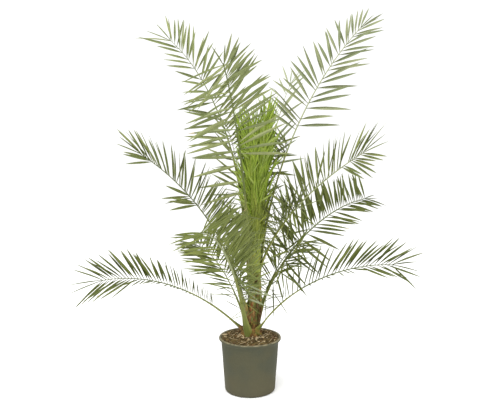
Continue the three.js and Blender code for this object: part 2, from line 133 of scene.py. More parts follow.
def leaf_row(opens, lifts, crowd, size=1.0, full_from=0.0, tuft=1.0, packing=0.85, spans=(0.0, 1.0),
             slim=1.0, stray=0.0, hand=0, tint=""):
    """Leaflets of one side. opens and lifts are their angles from the rib and above its plane, at even
    steps from neck to tip. crowd scales their number, size their length and slim their width. They are
    short up to the share full_from of the blade. tuft is how tightly they cluster, from 0 for even gaps
    to 1. packing above 1 gathers them to the neck, and below 1 to the tip. spans has the starts and ends
    of the shares of the blade that have any. stray is how far they stray, and tint theirs where it isn't
    the frond's. hand 1 is the right seen from the trunk, -1 the left, and 0 takes turns."""
    return dict(opens=opens, lifts=lifts, crowd=crowd, size=size, full_from=full_from, tuft=tuft,
                packing=packing, spans=spans, slim=slim, stray=stray, hand=hand, tint=tint)


# One entry for each grown frond, with the solids' curve and its finer details.
# heading is where the rib points seen from above, and sweep how far it turns on to its tip.
# The rib leaves the trunk at the angle rise and bends down by droop, sooner where bend is small.
# foot is its height above the soil, and bare the share of its length without leaflets. base and neck are
# its half widths at the foot and where the leaflets start, clasp the share of the length where the foot
# holds the trunk, proud how far it stands off there, tongue how far it runs on down the trunk, dry_foot the
# share that is dry, and thick scales the rib between the leaflets.
# roll tips the plane of the leaflets, leaf is the length of a full one, and pairs their number on a side.
# rows are the leaflets on its right and left, seen from the trunk, and then stray ones.
# slim scales their width, first the length of the lowest ones, tip that of the last ones, tangle how they
# stray, and wild how they cross near the neck. They are short up to the share spiny of the blade, olive up
# to olive_until, and spines start at the share spines of the bare stalk.
# tint names the green of the leaflets, and rib the colour of the rib some way past the neck.
# Their greens are partly painted light and shade: paler tints for the high fronds, darker for the low ones.
FRONDS = (
    grow(name="front_upper", heading=-106, sweep=7.7, rise=80, droop=47.8, bend=1.6, length=1.2, foot=0.158,
         roll=-12, leaf=0.215, pairs=22, bare=0.25, neck=0.0065, base=0.018, tongue=0.1, thick=1.6,
         tint="upper",
         rows=(leaf_row((104, 98, 94, 88), (10, 6, -4, -26), 0.92, tuft=0.6, packing=0.5),
               leaf_row((100, 98, 84, 56, 28), (10, 14), 1.1, packing=0.64, spans=(0.38, 1.0)))),
    grow(name="top_right", heading=24, sweep=18, rise=87, droop=51, bend=1.1, length=1.4, foot=0.188,
         roll=-34, leaf=0.2, pairs=23, bare=0.27, neck=0.006, base=0.02, tongue=0.06, thick=1.25,
         slim=1.1, spiny=0.5, first=0.55, tint="high", rib="pale",
         rows=(leaf_row((86, 68, 28), (16, 16), 0.72, tuft=0.6, spans=(0.36, 1.0)),
               leaf_row((82, 64, 24), (16, 16), 1.2, packing=0.8, spans=(0.05, 1.0)),
               leaf_row((80, 50), (20, 0), 1.0, size=0.75, spans=(0.0, 0.3), slim=0.6, stray=3.5, hand=-1,
                        tint="front"))),
    grow(name="top_left", heading=141, sweep=-7, rise=87, droop=58, bend=1.55, length=1.325, foot=0.188,
         roll=38, leaf=0.205, pairs=18, bare=0.36, neck=0.013, base=0.02, tongue=0.06, thick=0.7, tip=1,
         tint="upper",
         rows=(leaf_row((80, 64, 30), (16, 16), 1.9, size=0.9),
               leaf_row((80, 66, 34), (16, 16), 0.6, size=0.92, packing=0.8, spans=(0.0, 0.5, 0.88, 1.0)),
               leaf_row((80, 66, 34), (16, 16), 0.34, size=0.62, tuft=0.6, spans=(0.5, 0.88), hand=-1))),
    grow(name="front_left", heading=-117, sweep=16, rise=73.5, droop=67.5, bend=1.3, length=0.85, foot=0.01,
         roll=-28, leaf=0.205, pairs=18, bare=0.2, neck=0.0085, base=0.025, tongue=0.016, clasp=0.15,
         thick=1.3, slim=0.78, first=0.6, tint="front", rib="pale",
         rows=(leaf_row((64, 62, 36), (14, 4), 1.1, tuft=0.6),
               leaf_row((104, 56, 50, 60, 86), (16, 18), 3.0, size=1.05, tuft=0.6),
               leaf_row((90, 60), (30, 0), 1.8, size=0.8, spans=(0.0, 0.4), slim=0.8, stray=4, hand=-1),
               leaf_row((136, 118), (16, 0), 0.4, size=1.2, spans=(0.02, 0.2), slim=0.9, stray=2, hand=-1,
                        tint="pale"))),
    grow(name="left_middle", heading=201, sweep=8.5, rise=78, droop=45.4, bend=1.08, length=0.917,
         foot=0.096, roll=60, leaf=0.17, pairs=18, bare=0.27, neck=0.0055, base=0.019, tongue=0.04,
         thick=1.3, slim=0.92, first=0.95, tip=0.84, spiny=0.1, tint="middle",
         rows=(leaf_row((85, 82, 60, 40, 14), (42, 38, 22), 3.7, tuft=0.8, packing=1.3, slim=1.06),
               leaf_row((48, 46, 30), (4, 10), 0.45, packing=1,
                        spans=(0.46, 0.57, 0.78, 0.8, 0.88, 0.94)))),
    grow(name="left_low", heading=168, sweep=4, rise=43, droop=56, bend=1.1, length=0.73, foot=0.016,
         roll=42, leaf=0.185, pairs=17, bare=0.25, spiny=0.74, neck=0.005, base=0.018, tongue=0.012,
         clasp=0.12, dry_foot=0.05, thick=1.3, slim=1.05, tip=1.1, spines=1, tint="low",
         rows=(leaf_row((70, 56, 30), (56, 48, 18), 2.3, size=0.92, tuft=0.2, packing=1.3),
               leaf_row((84, 60, 30), (62, 40, -30), 1.6, size=0.9, full_from=0.72, tuft=0.3, slim=0.75))),
    grow(name="right_upper", heading=-14, sweep=-20, rise=89, droop=57.5, bend=0.48, length=0.772,
         foot=0.262, roll=-62, leaf=0.175, pairs=17, bare=0.27, neck=0.0055, base=0.014, tongue=0.12,
         thick=1.5, slim=1.02, first=0.95, tip=0.9, spiny=0.25, wild=5, tint="middle", rib="pale",
         rows=(leaf_row((64, 44), (42, 24, -12), 0.4, size=0.8, spans=(0.76, 1.0)),
               leaf_row((66, 58, 50, 24), (42, 38, 20), 3.4, size=1.02, tuft=0.45, packing=1.5,
                        spans=(0.0, 0.56, 0.6, 0.8, 0.85, 1.0)),
               leaf_row((90, 60), (30, 0), 0.7, size=0.9, spans=(0.0, 0.35), slim=0.6, stray=6,
                        tint="front"),
               leaf_row((90, 60), (30, 0), 0.6, size=0.9, spans=(0.0, 0.35), slim=0.6, stray=6,
                        tint="front"))),
    # The front green of its stray rows, paler than its own, is painted light on leaflets in shade.
    grow(name="right_middle", heading=31, sweep=16, rise=86, droop=86, bend=0.71, length=0.97, foot=0.026,
         roll=-44, leaf=0.175, pairs=18, bare=0.16, neck=0.0055, base=0.022, tongue=0.016, clasp=0.14,
         thick=1.4, slim=0.98, first=0.85, spiny=0.25, wild=4, tint="low",
         rows=(leaf_row((118, 112, 66, 44, 36, 28), (0, 4), 1.3, tuft=0.4),
               leaf_row((84, 70, 68, 78), (28, 30, 16), 2.1, size=1.1, tuft=0.35, packing=0.95,
                        spans=(0.24, 1.0), slim=0.95),
               leaf_row((90, 60), (30, 0), 0.8, size=0.8, spans=(0.06, 0.35), slim=0.6, stray=6,
                        tint="front"),
               leaf_row((110, 80), (40, -10), 1.1, size=0.95, spans=(0.0, 0.5), tuft=0.9, packing=2,
                        slim=0.65, stray=7, tint="front"))),
    grow(name="right_low", heading=-44, sweep=55, rise=52, droop=58.5, bend=1.43, length=0.737, foot=0.026,
         roll=-50, leaf=0.168, pairs=17, bare=0.25, spiny=0.2, neck=0.005, base=0.024, tongue=0.02,
         clasp=0.11, proud=0.006, thick=1.3, slim=0.9, tip=0.88, spines=1, tint="low",
         rows=(leaf_row((76, 34), (60, 46, 4), 1.1, full_from=0.74, tuft=0.5, slim=0.75),
               leaf_row((48, 44, 40, 30), (60, 50, 28), 1.6, size=1.05, tuft=0.3))),
    # Its pale green is partly painted light, which lifts it out of the shade at the back.
    grow(name="back_upper", heading=70, sweep=-5, rise=83, droop=42, bend=1.15, length=1.02, foot=0.238,
         leaf=0.18, pairs=16, bare=0.28, neck=0.0055, base=0.018, tongue=0.06, slim=0.85,
         tint="pale", rib="pale",
         rows=(leaf_row((72, 32), (16, 16), 0.6),) * 2
         + (leaf_row((70, 40), (20, 10), 0.5, size=0.8, spans=(0.05, 0.5), stray=3, tint="front"),) * 2),
    grow(name="back_middle", heading=104, rise=80, droop=52, bend=1.2, length=0.98, foot=0.126,
         leaf=0.175, pairs=16, bare=0.27, neck=0.0055, base=0.02, tongue=0.05, slim=0.85, wild=2,
         tint="middle", rows=(leaf_row((76, 34), (16, 16), 0.8),) * 2),
    grow(name="back_left_low", heading=122, sweep=-6, rise=58, droop=66, length=0.7, foot=0.022,
         roll=22, leaf=0.165, pairs=14, bare=0.25, neck=0.005, base=0.02, tongue=0.014, clasp=0.14,
         slim=0.9, tint="low", rows=(leaf_row((78, 34), (30, 26, 10), 1.5),) * 2),
    grow(name="back_right_low", heading=62, sweep=4, rise=60, droop=68, length=0.7, foot=0.022,
         roll=-22, leaf=0.165, pairs=14, bare=0.25, neck=0.005, base=0.02, tongue=0.014, clasp=0.14,
         slim=0.7, wild=5, tint="low",
         rows=(leaf_row((78, 50), (30, 26, 10), 1.3, packing=1.1),) * 2),
)

# Young fronds of the middle, upright, with leaflets pressed forward
YOUNG_FIRST_HEADING = -48
YOUNG_TURN = 72
YOUNG_RING_RADIUS = 0.013
YOUNG_LENGTH = 0.67
YOUNG_LENGTH_STEP = -0.022
YOUNG_RULE = grow(rise=88, droop=4.5, foot=TRUNK_HEIGHT, reach=YOUNG_RING_RADIUS, leaf=0.19,
                  pairs=10, bare=0.1, neck=0.0085, base=0.02, tongue=0.02, first=0.8, tangle=1.5,
                  tint="young", spines=1, olive_until=0.3,
                  rows=(leaf_row((6, 17), (-12, -11, -4), 5.0),) * 2
                  + (leaf_row((22, 42), (20, 0), 1.4, size=0.55, spans=(0.2, 1.0), slim=1.2, stray=2.5,
                              tint="soft"),) * 2)
SPEAR_LENGTH = 0.7

# Shape of one leaflet from root to tip: shares of its length and width, and the fold's angle
LEAF_STATIONS = np.array((0.0, 0.07, 0.22, 0.44, 0.68, 0.87, 1.0))
LEAF_WIDTHS = np.array((0.3, 0.42, 0.82, 1.0, 0.78, 0.42, 0.03))
LEAF_FOLDS = np.radians((60, 52, 36, 26, 20, 14, 6))
LEAF_KEELS = np.array((0.0012, 0.0012, 0.001, 0.0009, 0.0007, 0.0005, 0.0002))
LEAF_ACROSS = np.array((0.0, 0.5, 1.0, 0.5))


def linear(red, green, blue):
    """Scene colour of a display colour given from 0 to 255."""
    shares = np.array((red, green, blue)) / 255
    return tuple(np.where(shares <= 0.04045, shares / 12.92, ((shares + 0.055) / 1.055) ** 2.4).tolist())


def number(name, description, default, least=0.0, **more):
    """A number that a user may change."""
    return FloatProperty(name=name, description=description, default=default, min=least, **more)


def length(name, description, default):
    """A length that a user may change."""
    return number(name, description, default, unit="LENGTH", precision=4)


def whole(name, description, default, least=0):
    """A whole number that a user may change."""
    return IntProperty(name=name, description=description, default=default, min=least)


def colour(name, description, red, green, blue):
    """A colour that a user may change, from its display values."""
    return FloatVectorProperty(name=name, description=description, default=linear(red, green, blue),
                               size=3, min=0.0, max=1.0, subtype="COLOR")


class PalmPotSizes(bpy.types.PropertyGroup):
    """Sizes of the pot and its soil."""

    height: length("Height", "Height of the rim above the floor", POT_HEIGHT)
    rim_radius: length("Rim radius", "Outer radius of the rim bead", POT_RIM_RADIUS)
    wall_top_radius: length("Wall top radius", "Radius of the wall under the flare", 0.1285)
    base_radius: length("Base radius", "Radius of the wall above the foot", 0.1135)
    wall: length("Wall", "Thickness of the wall", 0.003)
    floor: length("Floor", "Thickness of the floor", 0.004)
    corner_radius: length("Corner radius", "Radius of the rounded foot", 0.011)
    flare_height: length("Flare height", "Height of the flared shoulder and bead", 0.026)
    bead_radius: length("Bead radius", "Radius of the rolled rim", 0.006)
    drain_radius: length("Drain radius", "Radius of each drain hole", 0.007)
    drain_circle: length("Drain circle", "Radius of the circle of drain holes", 0.082)
    drain_count: whole("Drain holes", "Number of drain holes", 6)
    soil_drop: length("Soil drop", "How far the soil falls from the middle to the wall", 0.006)
    soil_flat: length("Soil flat", "Radius of the level middle of the soil", 0.062)
    soil_lumps: length("Soil lumps", "Height of the lumps of the soil", 0.0035)


class PalmPlantSizes(bpy.types.PropertyGroup):
    """Sizes of trunk, stalks and leaflets."""

    leaflet_width: length("Leaflet width", "Width of a full leaflet", 0.0165)
    spine_width: length("Spine width", "Width of the short lowest leaflets", 0.0045)
    young_width: length("Young leaflet width", "Width of a leaflet in the middle tuft", 0.0115)
    crowding: number("Crowding", "Scales the number of leaflets", 1.12, 0.3)
    sheath_gain: number("Sheath", "Scales the width of the stalks' feet", 1.0, 0.5)
    rib_share: number("Rib share", "Scales the ribs between the leaflets", 0.6, 0.2)
    base_relief: length("Leaf base relief", "Depth of the leaf bases on the trunk", 0.0035)
    base_pitch: length("Leaf base pitch", "Height of one leaf base on the trunk", 0.05)
    fibre_count: whole("Fibres", "Number of loose fibres on the trunk", 190)
    crumb_count: whole("Crumbs", "Number of crumbs on the soil", 620)


class PalmColours(bpy.types.PropertyGroup):
    """Base colours of each finish."""

    pot: colour("Pot", "Olive grey plastic", 73, 73, 59)
    # The pot's pale dust is partly a painted highlight on the rim.
    pot_dust_and_highlight: colour("Pot dust and highlight", "Pale dust and painted highlight on the rim", 152, 141, 112)
    soil: colour("Soil", "Moist potting soil", 91, 76, 44)
    bark: colour("Bark chips", "Chips of bark", 120, 92, 56)
    straw: colour("Straw", "Dry straws and tan chips", 206, 188, 148)
    perlite: colour("Pale grains", "Pale grains in the soil", 206, 190, 152)
    fibre: colour("Fibre", "Brown fibre of the trunk", 136, 106, 60)
    stalk: colour("Stalk", "Green of the stalks", 103, 110, 52)
    stalk_edge: colour("Stalk edge", "Yellow green of the stalks' edges", 124, 126, 62)
    rib: colour("Rib", "Pale green of the upper ribs", 132, 138, 100)
    rib_olive: colour("Low rib", "Olive green of the low ribs", 86, 96, 44)
    rib_young: colour("Young rib", "Yellow green of the young ribs", 130, 141, 58)
    # The greens below are partly the fronds' own and partly painted light: paler on the high fronds, as lit
    # from above, darker olive on the low ones, in shade.
    leaf_pale: colour("Pale leaflets", "Pale green of the highest frond at the back", 132, 140, 108)
    leaf_high: colour("High leaflets", "Pale grey green of the highest fronds", 112, 119, 86)
    leaf_upper: colour("Upper leaflets", "Grey green of the upper fronds", 110, 118, 74)
    leaf_middle: colour("Middle leaflets", "Green of the middle fronds", 105, 113, 65)
    leaf_low: colour("Low leaflets", "Olive green of the low fronds", 79, 87, 37)
    leaf_front: colour("Front leaflets", "Bright olive of the front frond", 98, 107, 50)
    leaf_young: colour("Young leaflets", "Bright green of the middle tuft", 124, 144, 49)
    leaf_soft: colour("Soft leaflets", "Paler green of the young leaflets that cross", 133, 149, 72)
    leaf_dry: colour("Dry tips", "Straw brown of dry leaf tips", 150, 136, 92)
    floor: colour("Floor", "Pale studio floor", 250, 250, 249)


class PalmStage(bpy.types.PropertyGroup):
    """Camera and lights."""

    distance: length("Camera distance", "Distance of the camera in front of the pot", 3.3)
    camera_height: length("Camera height", "Height of the camera above the floor", 1.336)
    pitch: number("Pitch", "Angle that the camera looks down", math.radians(8.1), -math.pi / 2,
                  subtype="ANGLE")
    focal_pixels: number("Focal length", "Focal length in pixels of the image", 760, 1)
    image_width: whole("Image width", "Width of the image in pixels", 500, 1)
    sky: number("Sky", "Strength of the white surroundings", 1.13)
    key: number("Key light", "Power of the light from above", 180, unit="POWER")
    fill: number("Fill light", "Power of the light from the front", 30, unit="POWER")


# Small helpers

def mix(a, b, share):
    """From a to b by a share."""
    return a + (b - a) * share


def smooth(x):
    """From 0 to 1 with soft ends."""
    s = np.clip(x, 0.0, 1.0)
    return s * s * (3 - 2 * s)


def unit(v):
    """The same directions at length 1."""
    return v / np.linalg.norm(v, axis=-1, keepdims=True)


def outward(heading):
    """Level direction of a heading in degrees."""
    angle = np.radians(heading)
    return np.stack([np.cos(angle), np.sin(angle), np.zeros_like(angle)], -1)


def ripple(points, seed, wavelength, waves=14):
    """Smooth random relief between about -1 and 1, from waves in seeded directions."""
    rng = np.random.default_rng(seed)
    directions = unit(rng.normal(size=(waves, 3)))
    phases = rng.uniform(0, 2 * math.pi, waves)
    swell = np.sin(points @ directions.T * (2 * math.pi / wavelength) + phases)
    return swell.sum(-1) / math.sqrt(waves)


class Skin:
    """Collects lofted shapes and joins them into one mesh piece."""

    def __init__(self):
        self.points = []
        self.faces = []
        self.corners = []
        self.finishes = []
        self.creases = []
        self.total = 0
        self.lines = 0

    def add(self, points, faces, finish):
        """One small closed shape from its points and faces."""
        self.points.append(np.asarray(points, float))
        for face in faces:
            self.faces.append([self.total + i for i in face])
            self.corners.extend([(0.5, 0.5)] * len(face))
            self.finishes.append(finish)
        self.creases.append(np.full(len(points), -1))
        self.total += len(points)

    def loft(self, rings, finish=0, end_finish=None, across=None, creased=False):
        """Joins rings of equal point counts and closes both ends. finish is one number or a grid of them."""
        rings = np.asarray(rings, float)
        rows, sides, _ = rings.shape
        index = self.total + np.arange(rows * sides).reshape(rows, sides)
        beside = np.roll(index, -1, axis=1)
        quads = np.stack([index[:-1], beside[:-1], beside[1:], index[1:]], -1).reshape(-1, 4)
        along = np.linspace(0, 1, rows)
        if across is None:
            u = np.stack([np.arange(sides), np.arange(1, sides + 1)]) / sides
        else:
            u = np.stack([across, np.roll(across, -1)])
        u_corners = np.stack([u[0], u[1], u[1], u[0]], -1)
        v_corners = np.stack([along[:-1], along[:-1], along[1:], along[1:]], -1)
        uv = np.empty((rows - 1, sides, 4, 2))
        uv[..., 0] = u_corners[None]
        uv[..., 1] = v_corners[:, None]
        self.points.append(rings.reshape(-1, 3))
        self.faces.extend(quads.tolist())
        self.corners.extend(uv.reshape(-1, 2).tolist())
        grid = np.broadcast_to(finish, (rows - 1, sides))
        self.finishes.extend(grid.ravel().tolist())
        ends = ((index[0][::-1], grid[0, 0], 0.0), (index[-1], grid[-1, 0], 1.0))
        for ring, plain, v in ends:
            self.faces.append(ring.tolist())
            self.corners.extend([(0.5, v)] * sides)
            self.finishes.append(int(plain if end_finish is None else end_finish))
        line = np.full((rows, sides), -1)
        if creased:
            line[:] = self.lines + np.arange(sides)
            self.lines += sides
        self.creases.append(line.ravel())
        self.total += rows * sides

    def tube(self, path, radii, sides, finish, flat=1.0):
        """A round or flattened tube along a path of points."""
        path = np.asarray(path, float)
        tangent = unit(np.gradient(path, axis=0))
        reference = np.where(np.abs(tangent[:, 2:]) > 0.9, np.array((1.0, 0.0, 0.0)), UP)
        side = unit(np.cross(tangent, reference))
        over = np.cross(side, tangent)
        angle = np.linspace(0, 2 * math.pi, sides, endpoint=False)
        spokes = side[:, None] * np.cos(angle)[None, :, None]
        spokes = spokes + over[:, None] * np.sin(angle)[None, :, None] * flat
        self.loft(path[:, None] + spokes * np.asarray(radii, float)[:, None, None], finish)

    def build(self, name, materials, smooth_faces=True):
        """Makes the mesh object with its materials, creases and faces turned out."""
        mesh = bpy.data.meshes.new(name)
        mesh.from_pydata(np.concatenate(self.points), [], self.faces)
        for material in materials:
            mesh.materials.append(material)
        mesh.polygons.foreach_set("material_index", self.finishes)
        mesh.polygons.foreach_set("use_smooth", [smooth_faces] * len(self.faces))
        layer = mesh.uv_layers.new(name="UVMap")
        layer.data.foreach_set("uv", np.asarray(self.corners, np.float32).ravel())
        work = bmesh.new()
        work.from_mesh(mesh)
        bmesh.ops.recalc_face_normals(work, faces=work.faces)
        work.to_mesh(mesh)
        work.free()
        self.mark_creases(mesh)
        piece = bpy.data.objects.new(name, mesh)
        bpy.context.scene.collection.objects.link(piece)
        return piece

    def mark_creases(self, mesh):
        """Keeps the fold and the edges of each leaflet sharp."""
        lines = np.concatenate(self.creases)
        ends = np.empty(len(mesh.edges) * 2, np.int32)
        mesh.edges.foreach_get("vertices", ends)
        first, second = lines[ends[0::2]], lines[ends[1::2]]
        sharp = mesh.attributes.new("sharp_edge", "BOOLEAN", "EDGE")
        sharp.data.foreach_set("value", (first >= 0) & (first == second))


def settle(piece, slot, *nodes):
    """Rides the piece on the plant's body and hides the solids that it stands for."""
    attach(piece, BODY)
    if nodes:
        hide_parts(*nodes)


# Shader helpers

VECTOR = "NodeSocketVector"
NUMBER = "NodeSocketFloat"
COLOUR = "NodeSocketColor"


class Graph:
    """Adds nodes to a tree, sets their values and joins them."""

    def __init__(self, tree):
        self.tree = tree

    def node(self, kind, settings=None, **inputs):
        """A new node with its settings and inputs."""
        made = self.tree.nodes.new(kind)
        for key, value in (settings or {}).items():
            setattr(made, key, value)
        for key, value in inputs.items():
            self.put(made, key.replace("_", " "), value)
        return made

    def put(self, node, name, value):
        """Joins an output to an input, given by its name or number, or sets a plain value there."""
        socket = node.inputs[name]
        if isinstance(value, bpy.types.NodeSocket):
            self.tree.links.new(value, socket)
        elif socket.type == "RGBA":
            socket.default_value = (*value[:3], 1.0)
        else:
            socket.default_value = value

    def math(self, operation, *values):
        """The result of a sum."""
        made = self.node("ShaderNodeMath", {"operation": operation})
        for i, value in enumerate(values):
            self.put(made, i, value)
        return made.outputs[0]

    def vector_math(self, operation, first, second):
        """The outputs of a sum of two vectors."""
        made = self.node("ShaderNodeVectorMath", {"operation": operation})
        self.put(made, 0, first)
        self.put(made, 1, second)
        return made.outputs

    def span(self, value, low, high, to_low=0.0, to_high=1.0):
        """Spreads a value from one range over another, smoothly and clamped."""
        made = self.node("ShaderNodeMapRange", {"interpolation_type": "SMOOTHSTEP"}, Value=value,
                         From_Min=low, From_Max=high, To_Min=to_low, To_Max=to_high)
        return made.outputs["Result"]

    def noise(self, vector, scale, detail):
        """Cloudy values."""
        return self.node("ShaderNodeTexNoise", Vector=vector, Scale=scale, Detail=detail).outputs["Fac"]

    def parts(self, vector):
        """The X, Y and Z of a vector."""
        return self.node("ShaderNodeSeparateXYZ", Vector=vector).outputs

    def blend(self, share, first, second):
        """Mixes two colours by a share."""
        made = self.node("ShaderNodeMix", {"data_type": "RGBA"})
        self.put(made, 0, share)
        self.put(made, 6, first)
        self.put(made, 7, second)
        return made.outputs[2]

    def lay(self, mask, under, over, most):
        """Lays a colour over another by a mask, up to a share of most."""
        return self.blend(self.math("MULTIPLY", mask, most), under, over)


def effect(name, inputs, outputs):
    """An empty shader node group with named sockets, and its graph and end nodes. An input is given as its
    kind, or as its default where it is a number."""
    group = bpy.data.node_groups.new(name, "ShaderNodeTree")
    for label, given in inputs.items():
        plain = isinstance(given, float)
        socket = group.interface.new_socket(label, in_out="INPUT", socket_type=NUMBER if plain else given)
        if plain:
            socket.default_value = given
    for label, kind in outputs.items():
        group.interface.new_socket(label, in_out="OUTPUT", socket_type=kind)
    graph = Graph(group)
    start = graph.node("NodeGroupInput").outputs
    end = graph.node("NodeGroupOutput")
    return group, graph, start, end


def mottle_effect():
    """Patches of two colours of any scale."""
    group, graph, start, end = effect(
        "Mottle",
        {"Vector": VECTOR, "Scale": 20.0, "Detail": 4.0, "Spread": 0.2, "Dark": COLOUR, "Light": COLOUR},
        {"Color": COLOUR, "Value": NUMBER})
    noise = graph.noise(start["Vector"], start["Scale"], start["Detail"])
    low = graph.math("SUBTRACT", 0.5, start["Spread"])
    high = graph.math("ADD", 0.5, start["Spread"])
    share = graph.span(noise, low, high)
    graph.put(end, "Color", graph.blend(share, start["Dark"], start["Light"]))
    graph.put(end, "Value", share)
    return group


def streak_effect():
    """Fine lines that run along a blade, stalk or fibre."""
    group, graph, start, end = effect(
        "Lengthwise Streaks", {"UV": VECTOR, "Count": 20.0, "Waver": 2.0}, {"Value": NUMBER})
    scale = graph.node("ShaderNodeCombineXYZ", X=start["Count"], Y=start["Waver"]).outputs[0]
    stretched = graph.vector_math("MULTIPLY", start["UV"], scale)[0]
    graph.put(end, "Value", graph.span(graph.noise(stretched, 1.0, 3.0), 0.3, 0.7))
    return group


def midrib_effect():
    """A line along the middle of a folded blade, and its thin margins."""
    group, graph, start, end = effect(
        "Midrib", {"UV": VECTOR, "Width": 0.08, "Margin": 0.05}, {"Midrib": NUMBER, "Edge": NUMBER})
    across = graph.parts(start["UV"])["X"]
    off_middle = graph.math("ABSOLUTE", graph.math("SUBTRACT", across, 0.5))
    graph.put(end, "Midrib", graph.span(off_middle, 0.0, start["Width"], 1.0, 0.0))
    inner = graph.math("SUBTRACT", 0.5, start["Margin"])
    graph.put(end, "Edge", graph.span(off_middle, inner, 0.5))
    return group


def grain_effect():
    """Fine bumps of a rough or moulded surface."""
    group, graph, start, end = effect(
        "Surface Grain", {"Vector": VECTOR, "Scale": 200.0, "Pits": 0.4}, {"Height": NUMBER})
    noise = graph.noise(start["Vector"], start["Scale"], 5.0)
    cells = graph.node("ShaderNodeTexVoronoi", Vector=start["Vector"], Scale=start["Scale"])
    pits = graph.math("MULTIPLY", cells.outputs["Distance"], start["Pits"])
    graph.put(end, "Height", graph.math("ADD", noise, pits))
    return group


def dust_and_highlight_effect():
    """Patchy dust where a surface faces up, that also serves as a painted highlight there."""
    group, graph, start, end = effect(
        "Dust And Highlight On Tops", {"Vector": VECTOR, "Scale": 40.0, "Steepest": 0.2}, {"Mask": NUMBER})
    facing = graph.parts(graph.node("ShaderNodeNewGeometry").outputs["Normal"])["Z"]
    noise = graph.noise(start["Vector"], start["Scale"], 4.0)
    top = graph.span(facing, start["Steepest"], 1.0)
    graph.put(end, "Mask", graph.math("MULTIPLY", top, graph.span(noise, 0.25, 0.7)))
    return group


def tinted(base, factors):
    """A colour with its channels scaled by one number, or by one each."""
    return tuple(np.minimum(1.0, np.multiply(base[:3], factors)).tolist())


EFFECTS = {}
EFFECT_MAKERS = {"mottle": mottle_effect, "streaks": streak_effect, "midrib": midrib_effect,
                 "grain": grain_effect, "dust_and_highlight": dust_and_highlight_effect}


class Finish:
    """One material: its shader, coordinates and the effects placed in it."""

    def __init__(self, name, roughness, specular):
        self.material = bpy.data.materials.new(name)
        self.material.use_nodes = True
        tree = self.material.node_tree
        tree.nodes.clear()
        self.graph = Graph(tree)
        self.shader = self.graph.node("ShaderNodeBsdfPrincipled", Roughness=roughness,
                                      Specular_IOR_Level=specular)
        self.graph.node("ShaderNodeOutputMaterial", Surface=self.shader.outputs["BSDF"])
        coordinates = self.graph.node("ShaderNodeTexCoord")
        self.place = coordinates.outputs["Object"]
        self.uv = coordinates.outputs["UV"]

    def effect(self, kind, **inputs):
        """Places a shared effect, built on its first use."""
        if kind not in EFFECTS:
            EFFECTS[kind] = EFFECT_MAKERS[kind]()
        return self.graph.node("ShaderNodeGroup", {"node_tree": EFFECTS[kind]}, **inputs).outputs

    def mottle(self, base, dark, light, scale, detail, spread):
        """Patches of a darker and a lighter tint of one colour, by the place on the piece."""
        return self.effect("mottle", Vector=self.place, Scale=scale, Detail=detail, Spread=spread,
                           Dark=tinted(base, dark), Light=tinted(base, light))

    def streaks(self, count, waver):
        """Fine lines along the piece."""
        return self.effect("streaks", UV=self.uv, Count=count, Waver=waver)["Value"]

    def dust_and_highlight(self, scale, steepest):
        """Where dust lies on the piece, on what faces up: also a painted highlight."""
        return self.effect("dust_and_highlight", Vector=self.place, Scale=scale, Steepest=steepest)["Mask"]

    def grain(self, scale, pits):
        """Height of the piece's fine bumps."""
        return self.effect("grain", Vector=self.place, Scale=scale, Pits=pits)["Height"]

    def done(self, base, height, distance, strength, rough=None):
        """Joins colour, bumps and, where it varies, roughness to the shader, and gives the material."""
        bump = self.graph.node("ShaderNodeBump", Height=height, Distance=distance, Strength=strength)
        self.graph.put(self.shader, "Base Color", base)
        self.graph.put(self.shader, "Normal", bump.outputs["Normal"])
        if rough is not None:
            self.graph.put(self.shader, "Roughness", rough)
        return self.material


POT_SPECKLE = 0.35
POT_PALER_FROM = 0.75
POT_PALER_MOST = 0.5
TRUNK_PATCHES = 0.16
STAIN_LOW = 0.42
STAIN_TOP = 0.72
STAIN_NEAR = 0.036
STAIN_FAR = 0.05
STAIN_SHIFT = 0.012
STAIN_MOST = 0.6


def pot_plastic(colours):
    """Moulded plastic: clouded, speckled, paler to its foot, and dusty on its rim, where the dust also
    paints a highlight on what faces up.
    """
    finish = Finish("pot_plastic", roughness=0.7, specular=0.06)
    graph = finish.graph
    clouds = finish.mottle(colours.pot, (0.88, 0.95, 0.97), (1.14, 1.1, 1.0), scale=11.0, detail=6.0,
                           spread=0.14)
    speckle = finish.mottle(colours.pot, 0.9, 1.1, scale=190.0, detail=3.0, spread=0.12)
    body = graph.blend(POT_SPECKLE, clouds["Color"], speckle["Color"])
    # Paler and warmer towards the foot, up to three quarters of the height.
    paler_foot = graph.span(graph.parts(finish.place)["Z"], POT_HEIGHT * POT_PALER_FROM, 0.0, 0.0, POT_PALER_MOST)
    body = graph.blend(paler_foot, body, tinted(colours.pot, (1.5, 1.32, 1.2)))
    # Pale dust on what faces up, most on the rim bead, that is partly a painted highlight.
    base = graph.lay(finish.dust_and_highlight(scale=60.0, steepest=0.05), body, colours.pot_dust_and_highlight, most=0.8)
    rough = graph.span(clouds["Value"], 0.0, 1.0, 0.56, 0.72)
    grain = finish.grain(scale=420.0, pits=0.3)
    return finish.done(base, grain, distance=0.0004, strength=0.35, rough=rough)


def earth(name, base, scale):
    """Soil and crumbs: rough, blotched and pitted."""
    finish = Finish(name, roughness=0.92, specular=0.25)
    blotch = finish.mottle(base, 0.45, 1.35, scale=scale, detail=8.0, spread=0.16)
    # Paler where the soil faces up, by the mask shared with the pot's dust and painted highlight.
    dust_and_highlight = finish.dust_and_highlight(scale=scale * 2, steepest=0.3)
    body = finish.graph.lay(dust_and_highlight, blotch["Color"], tinted(base, 1.9), most=0.3)
    return finish.done(body, finish.grain(scale=scale * 6, pits=0.8), distance=0.002, strength=0.8)


def fibrous(name, base):
    """Fibre, straw, bark chips and dry sheaths: streaked along their length."""
    finish = Finish(name, roughness=0.85, specular=0.3)
    lines = finish.streaks(count=26.0, waver=3.0)
    patch = finish.mottle(base, (0.62, 0.55, 0.5), (1.3, 1.25, 1.2), scale=45.0, detail=5.0, spread=0.2)
    body = finish.graph.lay(lines, patch["Color"], tinted(base, 0.6), most=0.6)
    return finish.done(body, lines, distance=0.0012, strength=0.7)


